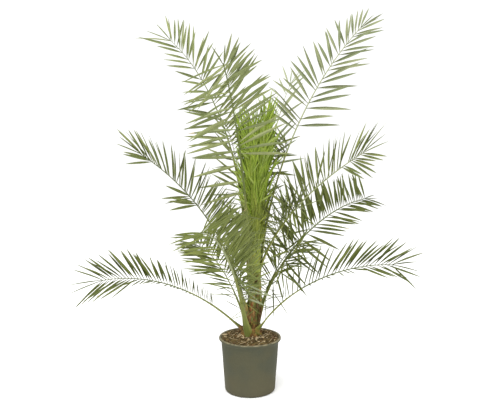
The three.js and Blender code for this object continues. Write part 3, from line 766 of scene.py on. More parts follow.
def trunk_wrap(name, colours, low, high):
    """Leaf bases that turn from brown fibre to green between two heights."""
    finish = Finish(name, roughness=0.8, specular=0.3)
    graph = finish.graph
    lines = finish.streaks(count=90.0, waver=14.0)
    brown = finish.mottle(colours.fibre, (0.55, 0.49, 0.42), (1.35, 1.26, 1.05), scale=60.0, detail=6.0,
                          spread=0.18)
    green = finish.mottle(colours.stalk, 0.75, (1.25, 1.2, 0.9), scale=30.0, detail=4.0, spread=0.25)
    patches = graph.math("MULTIPLY", graph.math("SUBTRACT", brown["Value"], 0.5), TRUNK_PATCHES)
    level = graph.math("ADD", graph.parts(finish.place)["Z"], patches)
    rise = graph.span(level, TRUNK_LOW.z + low, TRUNK_LOW.z + high)
    body = graph.blend(rise, brown["Color"], green["Color"])
    body = graph.lay(lines, body, tinted(colours.fibre, (0.4, 0.34, 0.3)), most=0.3)
    return finish.done(body, lines, distance=0.0015, strength=0.8)


def green_stalk(name, base, stain):
    """Stalks and ribs: satin, streaked, and stained near the trunk."""
    finish = Finish(name, roughness=0.42, specular=0.3)
    graph = finish.graph
    lines = finish.streaks(count=16.0, waver=3.0)
    patch = finish.mottle(base, (0.86, 0.88, 0.84), (1.14, 1.1, 1.05), scale=28.0, detail=4.0, spread=0.24)
    body = graph.lay(lines, patch["Color"], tinted(base, (0.7, 0.76, 0.68)), most=0.4)
    spots = finish.mottle(stain, (0.7, 0.6, 0.5), (1.3, 1.2, 1.0), scale=40.0, detail=6.0, spread=0.2)
    place = graph.parts(finish.place)
    level = graph.node("ShaderNodeCombineXYZ", X=place["X"], Y=place["Y"]).outputs["Vector"]
    middle = (TRUNK_FOOT[0] + STAIN_SHIFT, TRUNK_FOOT[1], 0.0)
    off = graph.vector_math("DISTANCE", level, middle)["Value"]
    near = graph.math("MULTIPLY", graph.span(place["Z"], STAIN_TOP, STAIN_LOW, 0.0, STAIN_MOST),
                      graph.span(off, STAIN_FAR, STAIN_NEAR))
    stained = graph.math("MULTIPLY", near, graph.span(spots["Value"], 0.5, 0.7))
    body = graph.blend(stained, body, spots["Color"])
    rough = graph.span(patch["Value"], 0.0, 1.0, 0.36, 0.52)
    return finish.done(body, lines, distance=0.0004, strength=0.4, rough=rough)


def leaf_blade(name, base):
    """Leaflets: satin, finely ribbed, with a pale fold and pale margins."""
    finish = Finish(name, roughness=0.5, specular=0.25)
    graph = finish.graph
    veins = finish.streaks(count=22.0, waver=1.5)
    patch = finish.mottle(base, (0.86, 0.88, 0.82), (1.12, 1.1, 1.1), scale=24.0, detail=3.0, spread=0.25)
    lines = finish.effect("midrib", UV=finish.uv, Width=0.09, Margin=0.05)
    body = graph.lay(veins, patch["Color"], tinted(base, (0.78, 0.84, 0.7)), most=0.22)
    pale = graph.math("MAXIMUM", lines["Midrib"], lines["Edge"])
    body = graph.lay(pale, body, tinted(base, (1.6, 1.5, 1.7)), most=0.4)
    rough = graph.span(veins, 0.0, 1.0, 0.42, 0.56)
    return finish.done(body, veins, distance=0.0003, strength=0.35, rough=rough)


LEAF_TINTS = ((0.84, 0.86, 0.82), (1.0, 1.0, 1.0), (1.16, 1.12, 1.16))
TINTS = len(LEAF_TINTS)


def tint_materials(name, base):
    """Plain tints of one green, dealt out leaflet by leaflet."""
    return [leaf_blade(f"{name}_{i + 1}", tinted(base, tint)) for i, tint in enumerate(LEAF_TINTS)]


# The growth rule

def trunk_radius(height):
    """Radius of the trunk's smooth form at a height above the soil."""
    flare = (TRUNK_FLARE_RADIUS - TRUNK_LOW_RADIUS) * np.exp(-height / TRUNK_FLARE_HEIGHT)
    return mix(TRUNK_LOW_RADIUS, TRUNK_TOP_RADIUS, height / TRUNK_HEIGHT) + flare


def trunk_centre(height):
    """Middle of the leaning trunk at a height above the soil."""
    height = np.asarray(height, float)
    lean = height * math.tan(math.radians(TRUNK_LEAN))
    return TRUNK_FOOT + np.stack([lean, np.zeros_like(height), height], -1)


def young_fronds():
    """The fronds of the middle tuft, each a turn further and shorter."""
    for i, _ in enumerate(YOUNG_NODES):
        yield dict(YOUNG_RULE, heading=YOUNG_FIRST_HEADING + YOUNG_TURN * i,
                   length=YOUNG_LENGTH + YOUNG_LENGTH_STEP * i)


class Rib:
    """The curve of one frond: places and directions from foot (0) to tip (1)."""

    def __init__(self, frond):
        t = np.linspace(0, 1, CURVE_STEPS + 1)
        heading = frond["heading"] + frond["sweep"] * t
        elevation = np.radians(frond["rise"] - frond["droop"] * t ** frond["bend"])
        self.along = outward(heading) * np.cos(elevation)[:, None] + UP * np.sin(elevation)[:, None]
        level = unit(np.cross(self.along, UP))
        above = np.cross(level, self.along)
        roll = np.radians(frond["roll"] * smooth(t / frond["bare"]))[:, None]
        self.side = level * np.cos(roll) + above * np.sin(roll)
        self.above = above * np.cos(roll) - level * np.sin(roll)
        reach = frond.get("reach", trunk_radius(frond["foot"]) - TRUNK_BITE)
        start = trunk_centre(frond["foot"]) + outward(frond["heading"]) * reach
        steps = self.along[:-1] * (frond["length"] / CURVE_STEPS)
        self.centre = start + np.concatenate([np.zeros((1, 3)), np.cumsum(steps, axis=0)])

    def at(self, t):
        """Centre, along, side and above at a share of the length."""
        place = np.clip(t, 0, 1) * CURVE_STEPS
        k = np.minimum(np.floor(place).astype(int), CURVE_STEPS - 1)
        share = (place - k)[..., None]
        return [mix(values[k], values[k + 1], share)
                for values in (self.centre, self.along, self.side, self.above)]

    def axes(self, t):
        """Centre and unit directions along, aside and above at one share of the length."""
        centre, *ways = self.at(np.array(t))
        return centre, *map(unit, ways)


SLIM_FROM = 0.6
SLIM_OVER = 0.9
SHEATH_CURVE = 1.6
RIB_SIDES = 12
RIB_ROWS = 46
RIB_LEAST_ROWS = 16
RIB_GROOVE = 0.45
RIB_GROOVE_WIDTH = 0.4
RIB_EDGE_FROM = 0.8
RIB_COLOUR_FROM = 0.2
SHEATH_HUG = 0.75
TONGUE_POINT = 0.35
TONGUE_PROUD = 0.002


def rib_half_width(frond, t, sizes):
    """Half width of the rib: a broad sheath at the foot, and slim between the leaflets."""
    taper = mix(frond["neck"] * RIB_FOOT_RATIO, RIB_TIP_HALF_WIDTH, t)
    share = sizes.rib_share * frond["thick"]
    slim = mix(1, share, smooth((t - frond["bare"] * SLIM_FROM) / (frond["bare"] * SLIM_OVER)))
    sheath = np.clip(1 - t / frond["clasp"], 0, 1) ** SHEATH_CURVE
    return taper * slim + (frond["base"] * sizes.sheath_gain - frond["neck"]) * sheath


def add_rib(skin, frond, start, end, band, sizes):
    """A stalk or rib: rounded below, flat and grooved above, hugging the trunk at its foot. Its edges have
    the second finish, and the band has another between two shares of the length."""
    out = outward(frond["heading"])
    rows = max(RIB_LEAST_ROWS, round(RIB_ROWS * (end - start)))
    tongue = frond["tongue"] / frond["length"]
    t = np.linspace(start - (tongue if start == 0 else 0), end, rows)
    centre, _, side, above = Rib(frond).at(t)
    down = np.minimum(t, 0)[:, None] * frond["length"]
    height = frond["foot"] + down[:, 0]
    spread = np.maximum(trunk_radius(height) - trunk_radius(frond["foot"]), 0) + TONGUE_PROUD
    centre = centre + UP * down + out * np.where(down < 0, spread[:, None], 0)
    clasp = np.clip(1 - t / frond["clasp"], 0, 1)
    centre = centre + out * (clasp * frond["proud"])[:, None]
    width = rib_half_width(frond, np.maximum(t, 0), sizes)
    width = width * mix(TONGUE_POINT, 1, smooth((t + tongue) / (tongue * 2)))
    thick = np.minimum(width, frond["neck"] * RIB_FOOT_RATIO) * RIB_THICKNESS_RATIO
    angle = np.linspace(0, 2 * math.pi, RIB_SIDES, endpoint=False) + math.pi / RIB_SIDES
    x = np.cos(angle)
    y = np.sin(angle)
    groove = np.where(y > 0, RIB_GROOVE * np.exp(-(x / RIB_GROOVE_WIDTH) ** 2), 0)
    hug = clasp[:, None] * SHEATH_HUG * x[None] ** 2
    over = (y - groove)[None] * thick[:, None] + hug * width[:, None]
    rings = centre[:, None] + side[:, None] * (x[None] * width[:, None])[..., None]
    rings = rings + above[:, None] * over[..., None]
    edge = np.abs(np.cos(angle + math.pi / RIB_SIDES)) > RIB_EDGE_FROM
    low, high, other = band
    inside = (t[1:, None] >= low) & (t[1:, None] < high)
    skin.loft(rings, np.where(inside, other, edge.astype(int)[None]))


CLUSTER_SIZES = (2, 3, 3, 4)
CLUSTER_TIGHT = 0.55
CLUSTER_UNTIL = 0.9
SHORT_SHARE = 0.28
SHORT_FADE = 0.12
LENGTH_SPREAD = (0.9, 1.06)
WIDTH_SPREAD = (0.88, 1.1)
TIP_NARROWING = 0.72
ROOT_SINK = 0.6
WILD_FADE = 2.5
LIFT_STEP = 11
LIFT_JITTER = 6
OPEN_STEP = -4
OPEN_JITTER = 5
FACE_TURN = 22
TWIST_JITTER = 16
SAG = 0.05
SAG_SPREAD = (0.2, 1.6)
DRY_SHARE = 0.02
SPINE_STEP = 0.026
SPINE_GAPS = 0.3
SPINE_OPENS = (38, 100)
SPINE_LIFTS = (-40, 60)
SPINE_SHARES = (0.3, 0.7)
SPINE_SPREAD = (0.5, 1.2)
SPINE_TWISTS = (0.0, 0.3)
LAST_PLACE = 0.985
LAST_SHARE = 0.87
LAST_WIDTH = 0.42
LAST_TURNS = (-9, 7)
LAST_JITTER = 3
LAST_TWISTS = (0.0, 0.2)


def leaf_share(frond, u):
    """Length of a leaflet at a share of the blade, for a full one of 1."""
    low = mix(frond["first"], 1, smooth(u / frond["spiny"]))
    to_tip = smooth((u - LEAF_SHORTENS_FROM) / (1 - LEAF_SHORTENS_FROM))
    return low * mix(1, frond["tip"], to_tip)


def along_blade(values, u):
    """A value given at even steps from the neck to the tip."""
    return float(np.interp(u, np.linspace(0, 1, len(values)), values))


def leaflet_places(count, rng, packing, tuft):
    """Shares along the blade in clusters, with each leaflet's place in its cluster from the middle."""
    places = []
    gather = mix(1, CLUSTER_TIGHT, tuft)
    slot = 0
    while slot < count:
        size = min(int(rng.choice(CLUSTER_SIZES)), count - slot)
        for k in range(size):
            spread = k - (size - 1) / 2
            loose = slot + k + 0.5
            tight = slot + size / 2 + spread * gather
            u = (tight if loose / count < CLUSTER_UNTIL else loose) / count
            places.append((u ** packing, spread * tuft))
        slot += size
    return places


def on_spans(spans, share):
    """Place on the blade of a share of a row that grows only between pairs of starts and ends."""
    pairs = list(zip(spans[::2], spans[1::2]))
    rest = share * sum(high - low for low, high in pairs)
    for low, high in pairs:
        if rest <= high - low:
            return low + rest
        rest -= high - low
    return spans[-1]


def add_blade(skin, finish, root, along, normal, length, width, sag, twists):
    """A folded leaflet: rings of left edge, top of the fold, right edge and underside of the fold."""
    across = np.cross(along, normal)
    s = LEAF_STATIONS[:, None]
    twist = mix(twists[0], twists[1], s)
    wide = across * np.cos(twist) + normal * np.sin(twist)
    face = normal * np.cos(twist) - across * np.sin(twist)
    centre = root + along * length * s - UP * (sag * length) * s ** 2
    half = (LEAF_WIDTHS * width / 2)[:, None]
    out = wide * half * np.cos(LEAF_FOLDS)[:, None]
    rise = face * half * np.sin(LEAF_FOLDS)[:, None]
    keel = face * LEAF_KEELS[:, None]
    rings = np.stack([centre - out + rise, centre, centre + out + rise, centre - keel], 1)
    skin.loft(rings, finish, across=LEAF_ACROSS, creased=True)


def leaf_way(along, side, above, hand, opening, lift):
    """Direction and upper side of a leaflet, from its angles in degrees to the rib and above its plane."""
    opening = math.radians(opening)
    lift = math.radians(lift)
    way = unit(along * math.cos(opening) + side * (hand * math.sin(opening) * math.cos(lift))
               + above * (math.sin(opening) * math.sin(lift)))
    return way, unit(above - way * (above @ way))


def add_row(skin, frond, row, hand, rng, sizes, widths, tint, dry):
    """One row of leaflets on a side of the frond, in clusters of several planes."""
    rib = Rib(frond)
    width, spine_width = widths
    count = round(frond["pairs"] * row["crowd"] * sizes.crowding)
    for share, spread in leaflet_places(count, rng, row["packing"], row["tuft"]):
        u = on_spans(row["spans"], share)
        t = mix(frond["bare"], 1, u)
        centre, along, side, above = rib.axes(t)
        stray = frond["tangle"] * (1 + frond["wild"] * (1 - u) ** WILD_FADE) + row["stray"]
        opening = along_blade(row["opens"], u) + spread * OPEN_STEP + rng.normal() * OPEN_JITTER * stray
        lift = along_blade(row["lifts"], u) + spread * LIFT_STEP + rng.normal() * LIFT_JITTER * stray
        way, normal = leaf_way(along, side, above, hand, opening, lift)
        full = mix(SHORT_SHARE, 1, smooth((u - row["full_from"]) / SHORT_FADE + 1))
        length = frond["leaf"] * leaf_share(frond, u) * row["size"] * full * rng.uniform(*LENGTH_SPREAD)
        broad = smooth(u / frond["spiny"]) * full
        blade = mix(spine_width, width * frond["slim"] * row["slim"], broad)
        blade = blade * mix(1, TIP_NARROWING, u * u) * rng.uniform(*WIDTH_SPREAD)
        turn = math.radians(-hand * FACE_TURN + rng.normal() * TWIST_JITTER)
        twists = (turn, turn + math.radians(rng.normal() * TWIST_JITTER))
        sag = SAG * rng.uniform(*SAG_SPREAD)
        root = centre + side * (hand * rib_half_width(frond, t, sizes) * ROOT_SINK)
        first = dry + 1 if u < frond["olive_until"] else tint
        finish = np.full((len(LEAF_STATIONS) - 1, 1), first + int(rng.integers(TINTS)))
        if rng.random() < DRY_SHARE:
            finish[-1] = dry
        add_blade(skin, finish, root, way, normal, length, blade, sag, twists)


def add_spines(skin, frond, rng, width, tint):
    """Spines on both edges of the bare stalk, longer to the neck."""
    rib = Rib(frond)
    for t in np.arange(frond["spines"] * frond["bare"], frond["bare"], SPINE_STEP / frond["length"]):
        for hand in (1, -1):
            if rng.random() < SPINE_GAPS:
                continue
            place = t + rng.uniform(-0.5, 0.5) * SPINE_STEP / frond["length"]
            centre, along, side, above = rib.axes(place)
            opening = rng.uniform(*SPINE_OPENS)
            lift = rng.uniform(*SPINE_LIFTS)
            way, normal = leaf_way(along, side, above, hand, opening, lift)
            length = frond["leaf"] * mix(*SPINE_SHARES, t / frond["bare"]) * rng.uniform(*SPINE_SPREAD)
            finish = tint + int(rng.integers(TINTS))
            add_blade(skin, finish, centre, way, normal, length, width, SAG, SPINE_TWISTS)


def add_last_pair(skin, frond, rng, width, tint):
    """The two leaflets that end the frond."""
    centre, along, side, above = Rib(frond).at(np.array(LAST_PLACE))
    length = frond["leaf"] * LAST_SHARE * leaf_share(frond, 1)
    for turn in LAST_TURNS:
        angle = math.radians(turn + rng.normal() * LAST_JITTER)
        way = unit(along * math.cos(angle) + side * math.sin(angle))
        add_blade(skin, tint, centre, way, unit(above), length, width * LAST_WIDTH, SAG, LAST_TWISTS)


def add_leaflets(skin, frond, rng, sizes, widths, tints, dry):
    """All leaflets of one frond. widths are those of a full leaflet and of a spine, tints the first finish
    of each tint, and dry the finish of dry tips."""
    for i, row in enumerate(frond["rows"]):
        hand = row["hand"] or (1, -1)[i % 2]
        tint = tints[row["tint"] or frond["tint"]]
        add_row(skin, frond, row, hand, rng, sizes, widths, tint, dry)
    add_spines(skin, frond, rng, widths[1], tints[frond["tint"]])
    add_last_pair(skin, frond, rng, widths[0], tints[frond["tint"]])


# Pot

POT_TURNS = 128
POT_WAVER = 0.00035
POT_WAVE = 0.11
MIDDLE_RADIUS = 0.0005
FLARE_BEND = 0.001
FLARE_ROWS = 9
WALL_ROWS = 16
CORNER_ROWS = 8
INNER_CORNER_ROWS = 5
BEAD_FROM = -40
BEAD_ROWS = (6, 14)
DRAIN_SIDES = 20
DRAIN_REACH = 0.01


def arc(x, z, radius, start, end, count):
    """Points of a round stretch of an outline between two angles in degrees."""
    angles = np.radians(np.linspace(start, end, count))
    return np.stack([x + radius * np.cos(angles), z + radius * np.sin(angles)], -1)


def pot_profile(sizes):
    """Radius and height of the pot's outline, from the middle of its underside round to the inside."""
    bead_x = sizes.rim_radius - sizes.bead_radius
    bead_z = sizes.height - sizes.bead_radius
    shoulder = sizes.height - sizes.flare_height
    corner_x = sizes.base_radius - sizes.corner_radius
    under_rows, over_rows = BEAD_ROWS
    under_bead = arc(bead_x, bead_z, sizes.bead_radius, BEAD_FROM, 0, under_rows)
    s = np.linspace(0, 1, FLARE_ROWS)[:, None]
    foot = np.array((sizes.wall_top_radius, shoulder))
    bend = np.array((sizes.wall_top_radius + FLARE_BEND, bead_z - sizes.bead_radius * 2))
    flare = foot * (1 - s) ** 2 + bend * 2 * s * (1 - s) + under_bead[0] * s ** 2
    corner = arc(corner_x, sizes.corner_radius, sizes.corner_radius, -90, 0, CORNER_ROWS)
    wall = mix(corner[-1], foot, np.linspace(0, 1, WALL_ROWS)[1:-1, None])
    inner_corner = sizes.corner_radius - sizes.wall
    inside = arc(corner_x, sizes.floor + inner_corner, inner_corner, 0, -90, INNER_CORNER_ROWS)
    inner_top = np.array(((sizes.wall_top_radius - sizes.wall, shoulder),))
    middle = np.array(((MIDDLE_RADIUS, 0.0),))
    return np.concatenate([
        middle, mix(middle, corner[:1], 0.5), corner, wall, flare[:-1], under_bead[:-1],
        arc(bead_x, bead_z, sizes.bead_radius, 0, 180, over_rows), inner_top, inside,
        np.array(((MIDDLE_RADIUS, sizes.floor),)),
    ])


def cut_drains(pot, sizes):
    """Cuts the ring of drain holes through the pot's floor."""
    cutter = Skin()
    for i in range(sizes.drain_count):
        centre = outward(360 / sizes.drain_count * i) * sizes.drain_circle
        path = centre + UP * np.array((-DRAIN_REACH, sizes.floor + DRAIN_REACH))[:, None]
        cutter.tube(path, (sizes.drain_radius, sizes.drain_radius), DRAIN_SIDES, 0)
    tool = cutter.build("drain_cutter", list(pot.data.materials))
    cut = pot.modifiers.new("drains", "BOOLEAN")
    cut.operation = "DIFFERENCE"
    cut.solver = "EXACT"
    cut.object = tool
    graph = bpy.context.evaluated_depsgraph_get()
    pot.data = bpy.data.meshes.new_from_object(pot.evaluated_get(graph))
    pot.modifiers.clear()
    bpy.data.objects.remove(tool)


class PALM_OT_make_pot(bpy.types.Operator):
    """Makes the turned plastic pot with its bead and drain holes"""

    bl_idname = "palm.make_pot"
    bl_label = "Pot"

    def execute(self, context):
        sizes = context.scene.palm_pot
        profile = pot_profile(sizes)
        spokes = outward(np.linspace(0, 360, POT_TURNS, endpoint=False))
        rings = spokes[None] * profile[:, :1, None] + UP * profile[:, 1:, None]
        waver = POT_WAVER * ripple(rings, SEED, POT_WAVE)
        standing = smooth(rings[..., 2] / sizes.corner_radius)
        rings = rings + spokes[None] * (waver * standing)[..., None]
        skin = Skin()
        skin.loft(rings)
        pot = skin.build("pot_shell", [pot_plastic(context.scene.palm_colours)])
        cut_drains(pot, sizes)
        settle(pot, "pot_plastic", "pot")
        return {"FINISHED"}


# Soil

SOIL_RINGS = 46
SOIL_TURNS = 132
SOIL_SKIRT = 0.03
SOIL_PATCH_SCALE = 70.0
# Offset from SEED, wavelength and weight of each set of lumps
SOIL_WAVES = ((1, 0.034, 0.55), (2, 0.013, 0.4))


def soil_height(points, sizes):
    """Height of the soil at places seen from above."""
    radius = np.linalg.norm(points[..., :2], axis=-1)
    share = (SOIL_RADIUS - radius) / (SOIL_RADIUS - sizes.soil_flat)
    level = SOIL_TOP - sizes.soil_drop * (1 - smooth(share))
    flat = points * np.array((1.0, 1.0, 0.0))
    lumps = sum(ripple(flat, SEED + offset, wave) * weight for offset, wave, weight in SOIL_WAVES)
    return level + sizes.soil_lumps * lumps


class PALM_OT_make_soil(bpy.types.Operator):
    """Makes the lumpy surface of the soil"""

    bl_idname = "palm.make_soil"
    bl_label = "Soil"

    def execute(self, context):
        sizes = context.scene.palm_pot
        radii = np.linspace(MIDDLE_RADIUS, SOIL_RADIUS, SOIL_RINGS)
        spokes = outward(np.linspace(0, 360, SOIL_TURNS, endpoint=False))
        rings = spokes[None] * radii[:, None, None]
        rings[..., 2] = soil_height(rings, sizes)
        skirt = rings[-1:].copy()
        skirt[..., 2] = SOIL_TOP - sizes.soil_drop - SOIL_SKIRT
        skin = Skin()
        skin.loft(np.concatenate([rings, skirt]))
        finish = earth("potting_soil", context.scene.palm_colours.soil, SOIL_PATCH_SCALE)
        settle(skin.build("soil_surface", [finish]), "potting_soil", "soil")
        return {"FINISHED"}


# Litter on the soil

GOLDEN = (1 + math.sqrt(5)) / 2
CRUMB_POINTS = unit(np.array([
    (-1, GOLDEN, 0), (1, GOLDEN, 0), (-1, -GOLDEN, 0), (1, -GOLDEN, 0),
    (0, -1, GOLDEN), (0, 1, GOLDEN), (0, -1, -GOLDEN), (0, 1, -GOLDEN),
    (GOLDEN, 0, -1), (GOLDEN, 0, 1), (-GOLDEN, 0, -1), (-GOLDEN, 0, 1)], float))
CRUMB_FACES = (
    (0, 11, 5), (0, 5, 1), (0, 1, 7), (0, 7, 10), (0, 10, 11), (1, 5, 9), (5, 11, 4), (11, 10, 2),
    (10, 7, 6), (7, 1, 8), (3, 9, 4), (3, 4, 2), (3, 2, 6), (3, 6, 8), (3, 8, 9), (4, 9, 5),
    (2, 4, 11), (6, 2, 10), (8, 6, 7), (9, 8, 1))
LITTER_MARGIN = 0.004
TRUNK_MARGIN = 0.9
CRUMB_SIZES = (0.0016, 0.0042)
LUMP_SIZES = (0.004, 0.0065)
CRUMB_SHARE = 0.85
CRUMB_FINISHES = (0.54, 0.3, 0.13, 0.03)
CRUMB_STRETCHES = (0.7, 1.2)
CRUMB_SQUASHES = (0.6, 1.0)
CRUMB_LIFT = 0.25
CRUMB_PATCH_SCALE = 160.0
CHIP_COUNT = 34
CHIP_FINISHES = 3
CHIP_CORNERS = 9
CHIP_LENGTHS = (0.008, 0.022)
CHIP_WIDTHS = (0.3, 0.6)
CHIP_THICKNESSES = (0.0015, 0.003)
CHIP_LIFT = 0.0015
CHIP_RAGGED = (0.75, 1.1)
CHIP_TILTS = (-0.18, 0.18)
# Height and swell of each ring of a chip, in shares of its thickness and outline
CHIP_LEVELS = ((-0.4, 0.0), (0.2, 0.06), (0.6, 0.0))
# Place, length and width of the large chip on the left
LEFT_CHIP = (-0.112, 0.018, 0.027, 0.012)
LEFT_CHIP_HEADING = 8
LEFT_CHIP_THICKNESS = 0.004
LEFT_CHIP_LIFT = 0.003
LEFT_CHIP_FINISH = 2
STRAW_COUNT = 34
STRAW_POINTS = 7
STRAW_SIDES = 5
STRAW_LENGTHS = (0.015, 0.045)
STRAW_LIFT = 0.0022
STRAW_ARCH = 0.003
STRAW_BOWS = (-0.25, 0.25)
STRAW_RADII = (0.0011, 0.0006)
STRAW_SPREAD = (0.7, 1.3)
STRAW_BROWN_SHARE = 0.4
# Both ends of the long straw on the right
RIGHT_STRAW = ((0.062, -0.022), (0.098, 0.08))
RIGHT_STRAW_GAIN = 1.6
FOOT_STRAW_COUNT = 17
FOOT_STRAW_HEADINGS = (-152, -62)
FOOT_STRAW_FAN = 17
FOOT_STRAW_OFFSETS = (0.044, 0.082)
FOOT_STRAW_LENGTHS = (0.006, 0.018)
FOOT_STRAW_GAIN = 2.6


def soil_place(rng, sizes):
    """A place on the open soil, clear of the trunk and of the pot's wall."""
    while True:
        x, y = rng.uniform(-SOIL_RADIUS, SOIL_RADIUS, 2)
        off_trunk = math.hypot(x - TRUNK_FOOT[0], y - TRUNK_FOOT[1])
        if math.hypot(x, y) < SOIL_RADIUS - LITTER_MARGIN and off_trunk > TRUNK_FLARE_RADIUS * TRUNK_MARGIN:
            return np.array((x, y, soil_height(np.array((x, y, 0.0)), sizes)))


def add_crumb(skin, rng, sizes):
    """A rough crumb, partly sunk in the soil."""
    size = rng.uniform(*(CRUMB_SIZES if rng.random() < CRUMB_SHARE else LUMP_SIZES))
    finish = int(rng.choice(len(CRUMB_FINISHES), p=CRUMB_FINISHES))
    shape = CRUMB_POINTS * rng.uniform(*CRUMB_STRETCHES, (len(CRUMB_POINTS), 1))
    shape = shape * rng.uniform(*CRUMB_SQUASHES, 3) * size
    skin.add(soil_place(rng, sizes) + shape + UP * size * CRUMB_LIFT, CRUMB_FACES, finish)


def add_chip(skin, place, heading, long, wide, thick, rng, finish):
    """A flat splinter of bark with a ragged outline."""
    along = outward(heading)
    across = np.cross(UP, along)
    angles = np.linspace(0, 2 * math.pi, CHIP_CORNERS, endpoint=False)
    ragged = rng.uniform(*CHIP_RAGGED, CHIP_CORNERS)
    outline = along * (np.cos(angles) * ragged * long / 2)[:, None]
    outline = outline + across * (np.sin(angles) * ragged * wide / 2)[:, None]
    slope = rng.uniform(*CHIP_TILTS, 2) @ np.stack([np.cos(angles), np.sin(angles)])
    tilt = UP * slope[:, None] * wide
    base = place + outline + tilt
    rings = [base + outline * swell + UP * thick * level for level, swell in CHIP_LEVELS]
    skin.loft(rings, finish)


def straw_ends(rng, sizes):
    """Both ends of each straw and how thick it is: one on the right, some all over and more at the trunk."""
    start, end = (np.array((x, y, 0.0)) for x, y in RIGHT_STRAW)
    yield start, end, RIGHT_STRAW_GAIN
    for _ in range(STRAW_COUNT):
        start = soil_place(rng, sizes)
        end = start + outward(rng.uniform(0, 360)) * rng.uniform(*STRAW_LENGTHS)
        if np.linalg.norm(end[:2]) < SOIL_RADIUS - LITTER_MARGIN:
            yield start, end, 1.0
    for i in range(2 * FOOT_STRAW_COUNT):
        side = outward(FOOT_STRAW_HEADINGS[i % 2] + rng.normal() * FOOT_STRAW_FAN)
        start = trunk_centre(0.0) + side * rng.uniform(*FOOT_STRAW_OFFSETS)
        yield start, start + outward(rng.uniform(0, 360)) * rng.uniform(*FOOT_STRAW_LENGTHS), FOOT_STRAW_GAIN


def add_straw(skin, start, end, gain, rng, sizes):
    """A bowed straw that lies on the soil."""
    s = np.linspace(0, 1, STRAW_POINTS)[:, None]
    bow = np.cross(UP, end - start) * rng.uniform(*STRAW_BOWS)
    path = mix(start, end, s) + bow * (4 * s * (1 - s))
    arch = STRAW_ARCH * rng.random() * np.sin(math.pi * s[:, 0])
    path[:, 2] = soil_height(path, sizes) + STRAW_LIFT + arch
    radii = np.linspace(*STRAW_RADII, STRAW_POINTS) * rng.uniform(*STRAW_SPREAD) * gain
    skin.tube(path, radii, STRAW_SIDES, int(rng.random() < STRAW_BROWN_SHARE / gain))


class PALM_OT_scatter_litter(bpy.types.Operator):
    """Scatters crumbs, pale grains, bark chips and straws on the soil"""

    bl_idname = "palm.scatter_litter"
    bl_label = "Litter"

    def execute(self, context):
        colours = context.scene.palm_colours
        sizes = context.scene.palm_pot
        rng = np.random.default_rng(LITTER_SEED)
        crumbs = Skin()
        for _ in range(context.scene.palm_plant.crumb_count):
            add_crumb(crumbs, rng, sizes)
        grounds = {"crumb_dark": tinted(colours.soil, 0.7), "crumb_brown": colours.soil,
                   "crumb_tan": colours.bark, "crumb_pale": colours.perlite}
        finishes = [earth(name, base, CRUMB_PATCH_SCALE) for name, base in grounds.items()]
        settle(crumbs.build("soil_crumbs", finishes, False), "potting_soil")
        chips = Skin()
        x, y, long, wide = LEFT_CHIP
        place = np.array((x, y, 0.0))
        place[2] = soil_height(place, sizes) + LEFT_CHIP_LIFT
        add_chip(chips, place, LEFT_CHIP_HEADING, long, wide, LEFT_CHIP_THICKNESS, rng, LEFT_CHIP_FINISH)
        for _ in range(CHIP_COUNT):
            place = soil_place(rng, sizes) + UP * CHIP_LIFT
            long = rng.uniform(*CHIP_LENGTHS)
            add_chip(chips, place, rng.uniform(0, 360), long, long * rng.uniform(*CHIP_WIDTHS),
                     rng.uniform(*CHIP_THICKNESSES), rng, int(rng.integers(CHIP_FINISHES)))
        finishes = [fibrous("chip_dark", tinted(colours.bark, 0.55)), fibrous("chip_brown", colours.bark),
                    fibrous("chip_tan", tinted(colours.straw, 0.7))]
        settle(chips.build("bark_chips", finishes, False), "potting_soil")
        straws = Skin()
        for start, end, gain in list(straw_ends(rng, sizes)):
            add_straw(straws, start, end, gain, rng, sizes)
        finishes = [fibrous("straw_pale", colours.straw), fibrous("straw_brown", tinted(colours.straw, 0.6))]
        settle(straws.build("straws", finishes), "potting_soil")
        return {"FINISHED"}


# Trunk

TRUNK_ROWS = 120
TRUNK_TURNS = 108
TRUNK_BURIED = 0.008
BASES_A_TURN = 5
BASE_ROW_WAVER = 0.22
BASE_ROW_WAVE = 0.07
BASE_TURN_WAVER = 0.12
BASE_TURN_WAVE = 0.06
BASE_CROWN = 0.8
BASE_CURVE = 1.6
BASE_LEVEL = 0.45
FIBRE_STRETCH = 0.16
# Offset from SEED, wavelength and depth of each set of fibres
FIBRE_WAVES = ((22, 0.007, 0.0005), (23, 0.016, 0.0006))
SEAM_LEVEL = 0.16
GREEN_HEIGHTS = (0.02, 0.07)
SEAM_GREEN_HEIGHTS = (0.05, 0.13)
STUB_ROWS = 9
STUB_SIDES = 18
STUB_WAVER = 0.04
STUB_THINS = 0.85
STUB_HUG = 0.35
STUB_RAGGED = 0.0012
FLAKE_COUNT = 26
FLAKE_ROWS = 6
FLAKE_TURN = 8
FLAKE_SWELL = (0.3, 0.96)
FLAKE_RAGGED = (0.8, 1.2)
# Turn and rise of a flake's edges and of the top and underside of its middle
FLAKE_CORNERS = ((-1, 0.0), (0, 0.0015), (1, 0.0), (0, -0.001))
FLAKE_HEIGHTS = (0.06, 0.26)
FLAKE_LENGTHS = (0.025, 0.06)
FLAKE_HALF_TURNS = (8, 16)
FLAKE_PROUD = 0.004
FLAKE_PEELS = (0.0, 0.009)
FIBRE_POINTS = 7
FIBRE_SIDES = 4
FIBRE_FLAT = 0.5
FIBRE_LOWS = (1.0, 2.4)
FIBRE_TURN = 22
FIBRE_BEND = 10
FIBRE_SPREAD = (0.7, 1.5)
FIBRE_FINISHES = 3
FIBRE_LENGTHS = (0.02, 0.075)
FIBRE_REACH = 0.8
FIBRE_PROUD = 0.001
FIBRE_CURLS = (0.001, 0.009)
FIBRE_RADII = (0.0009, 0.0003)


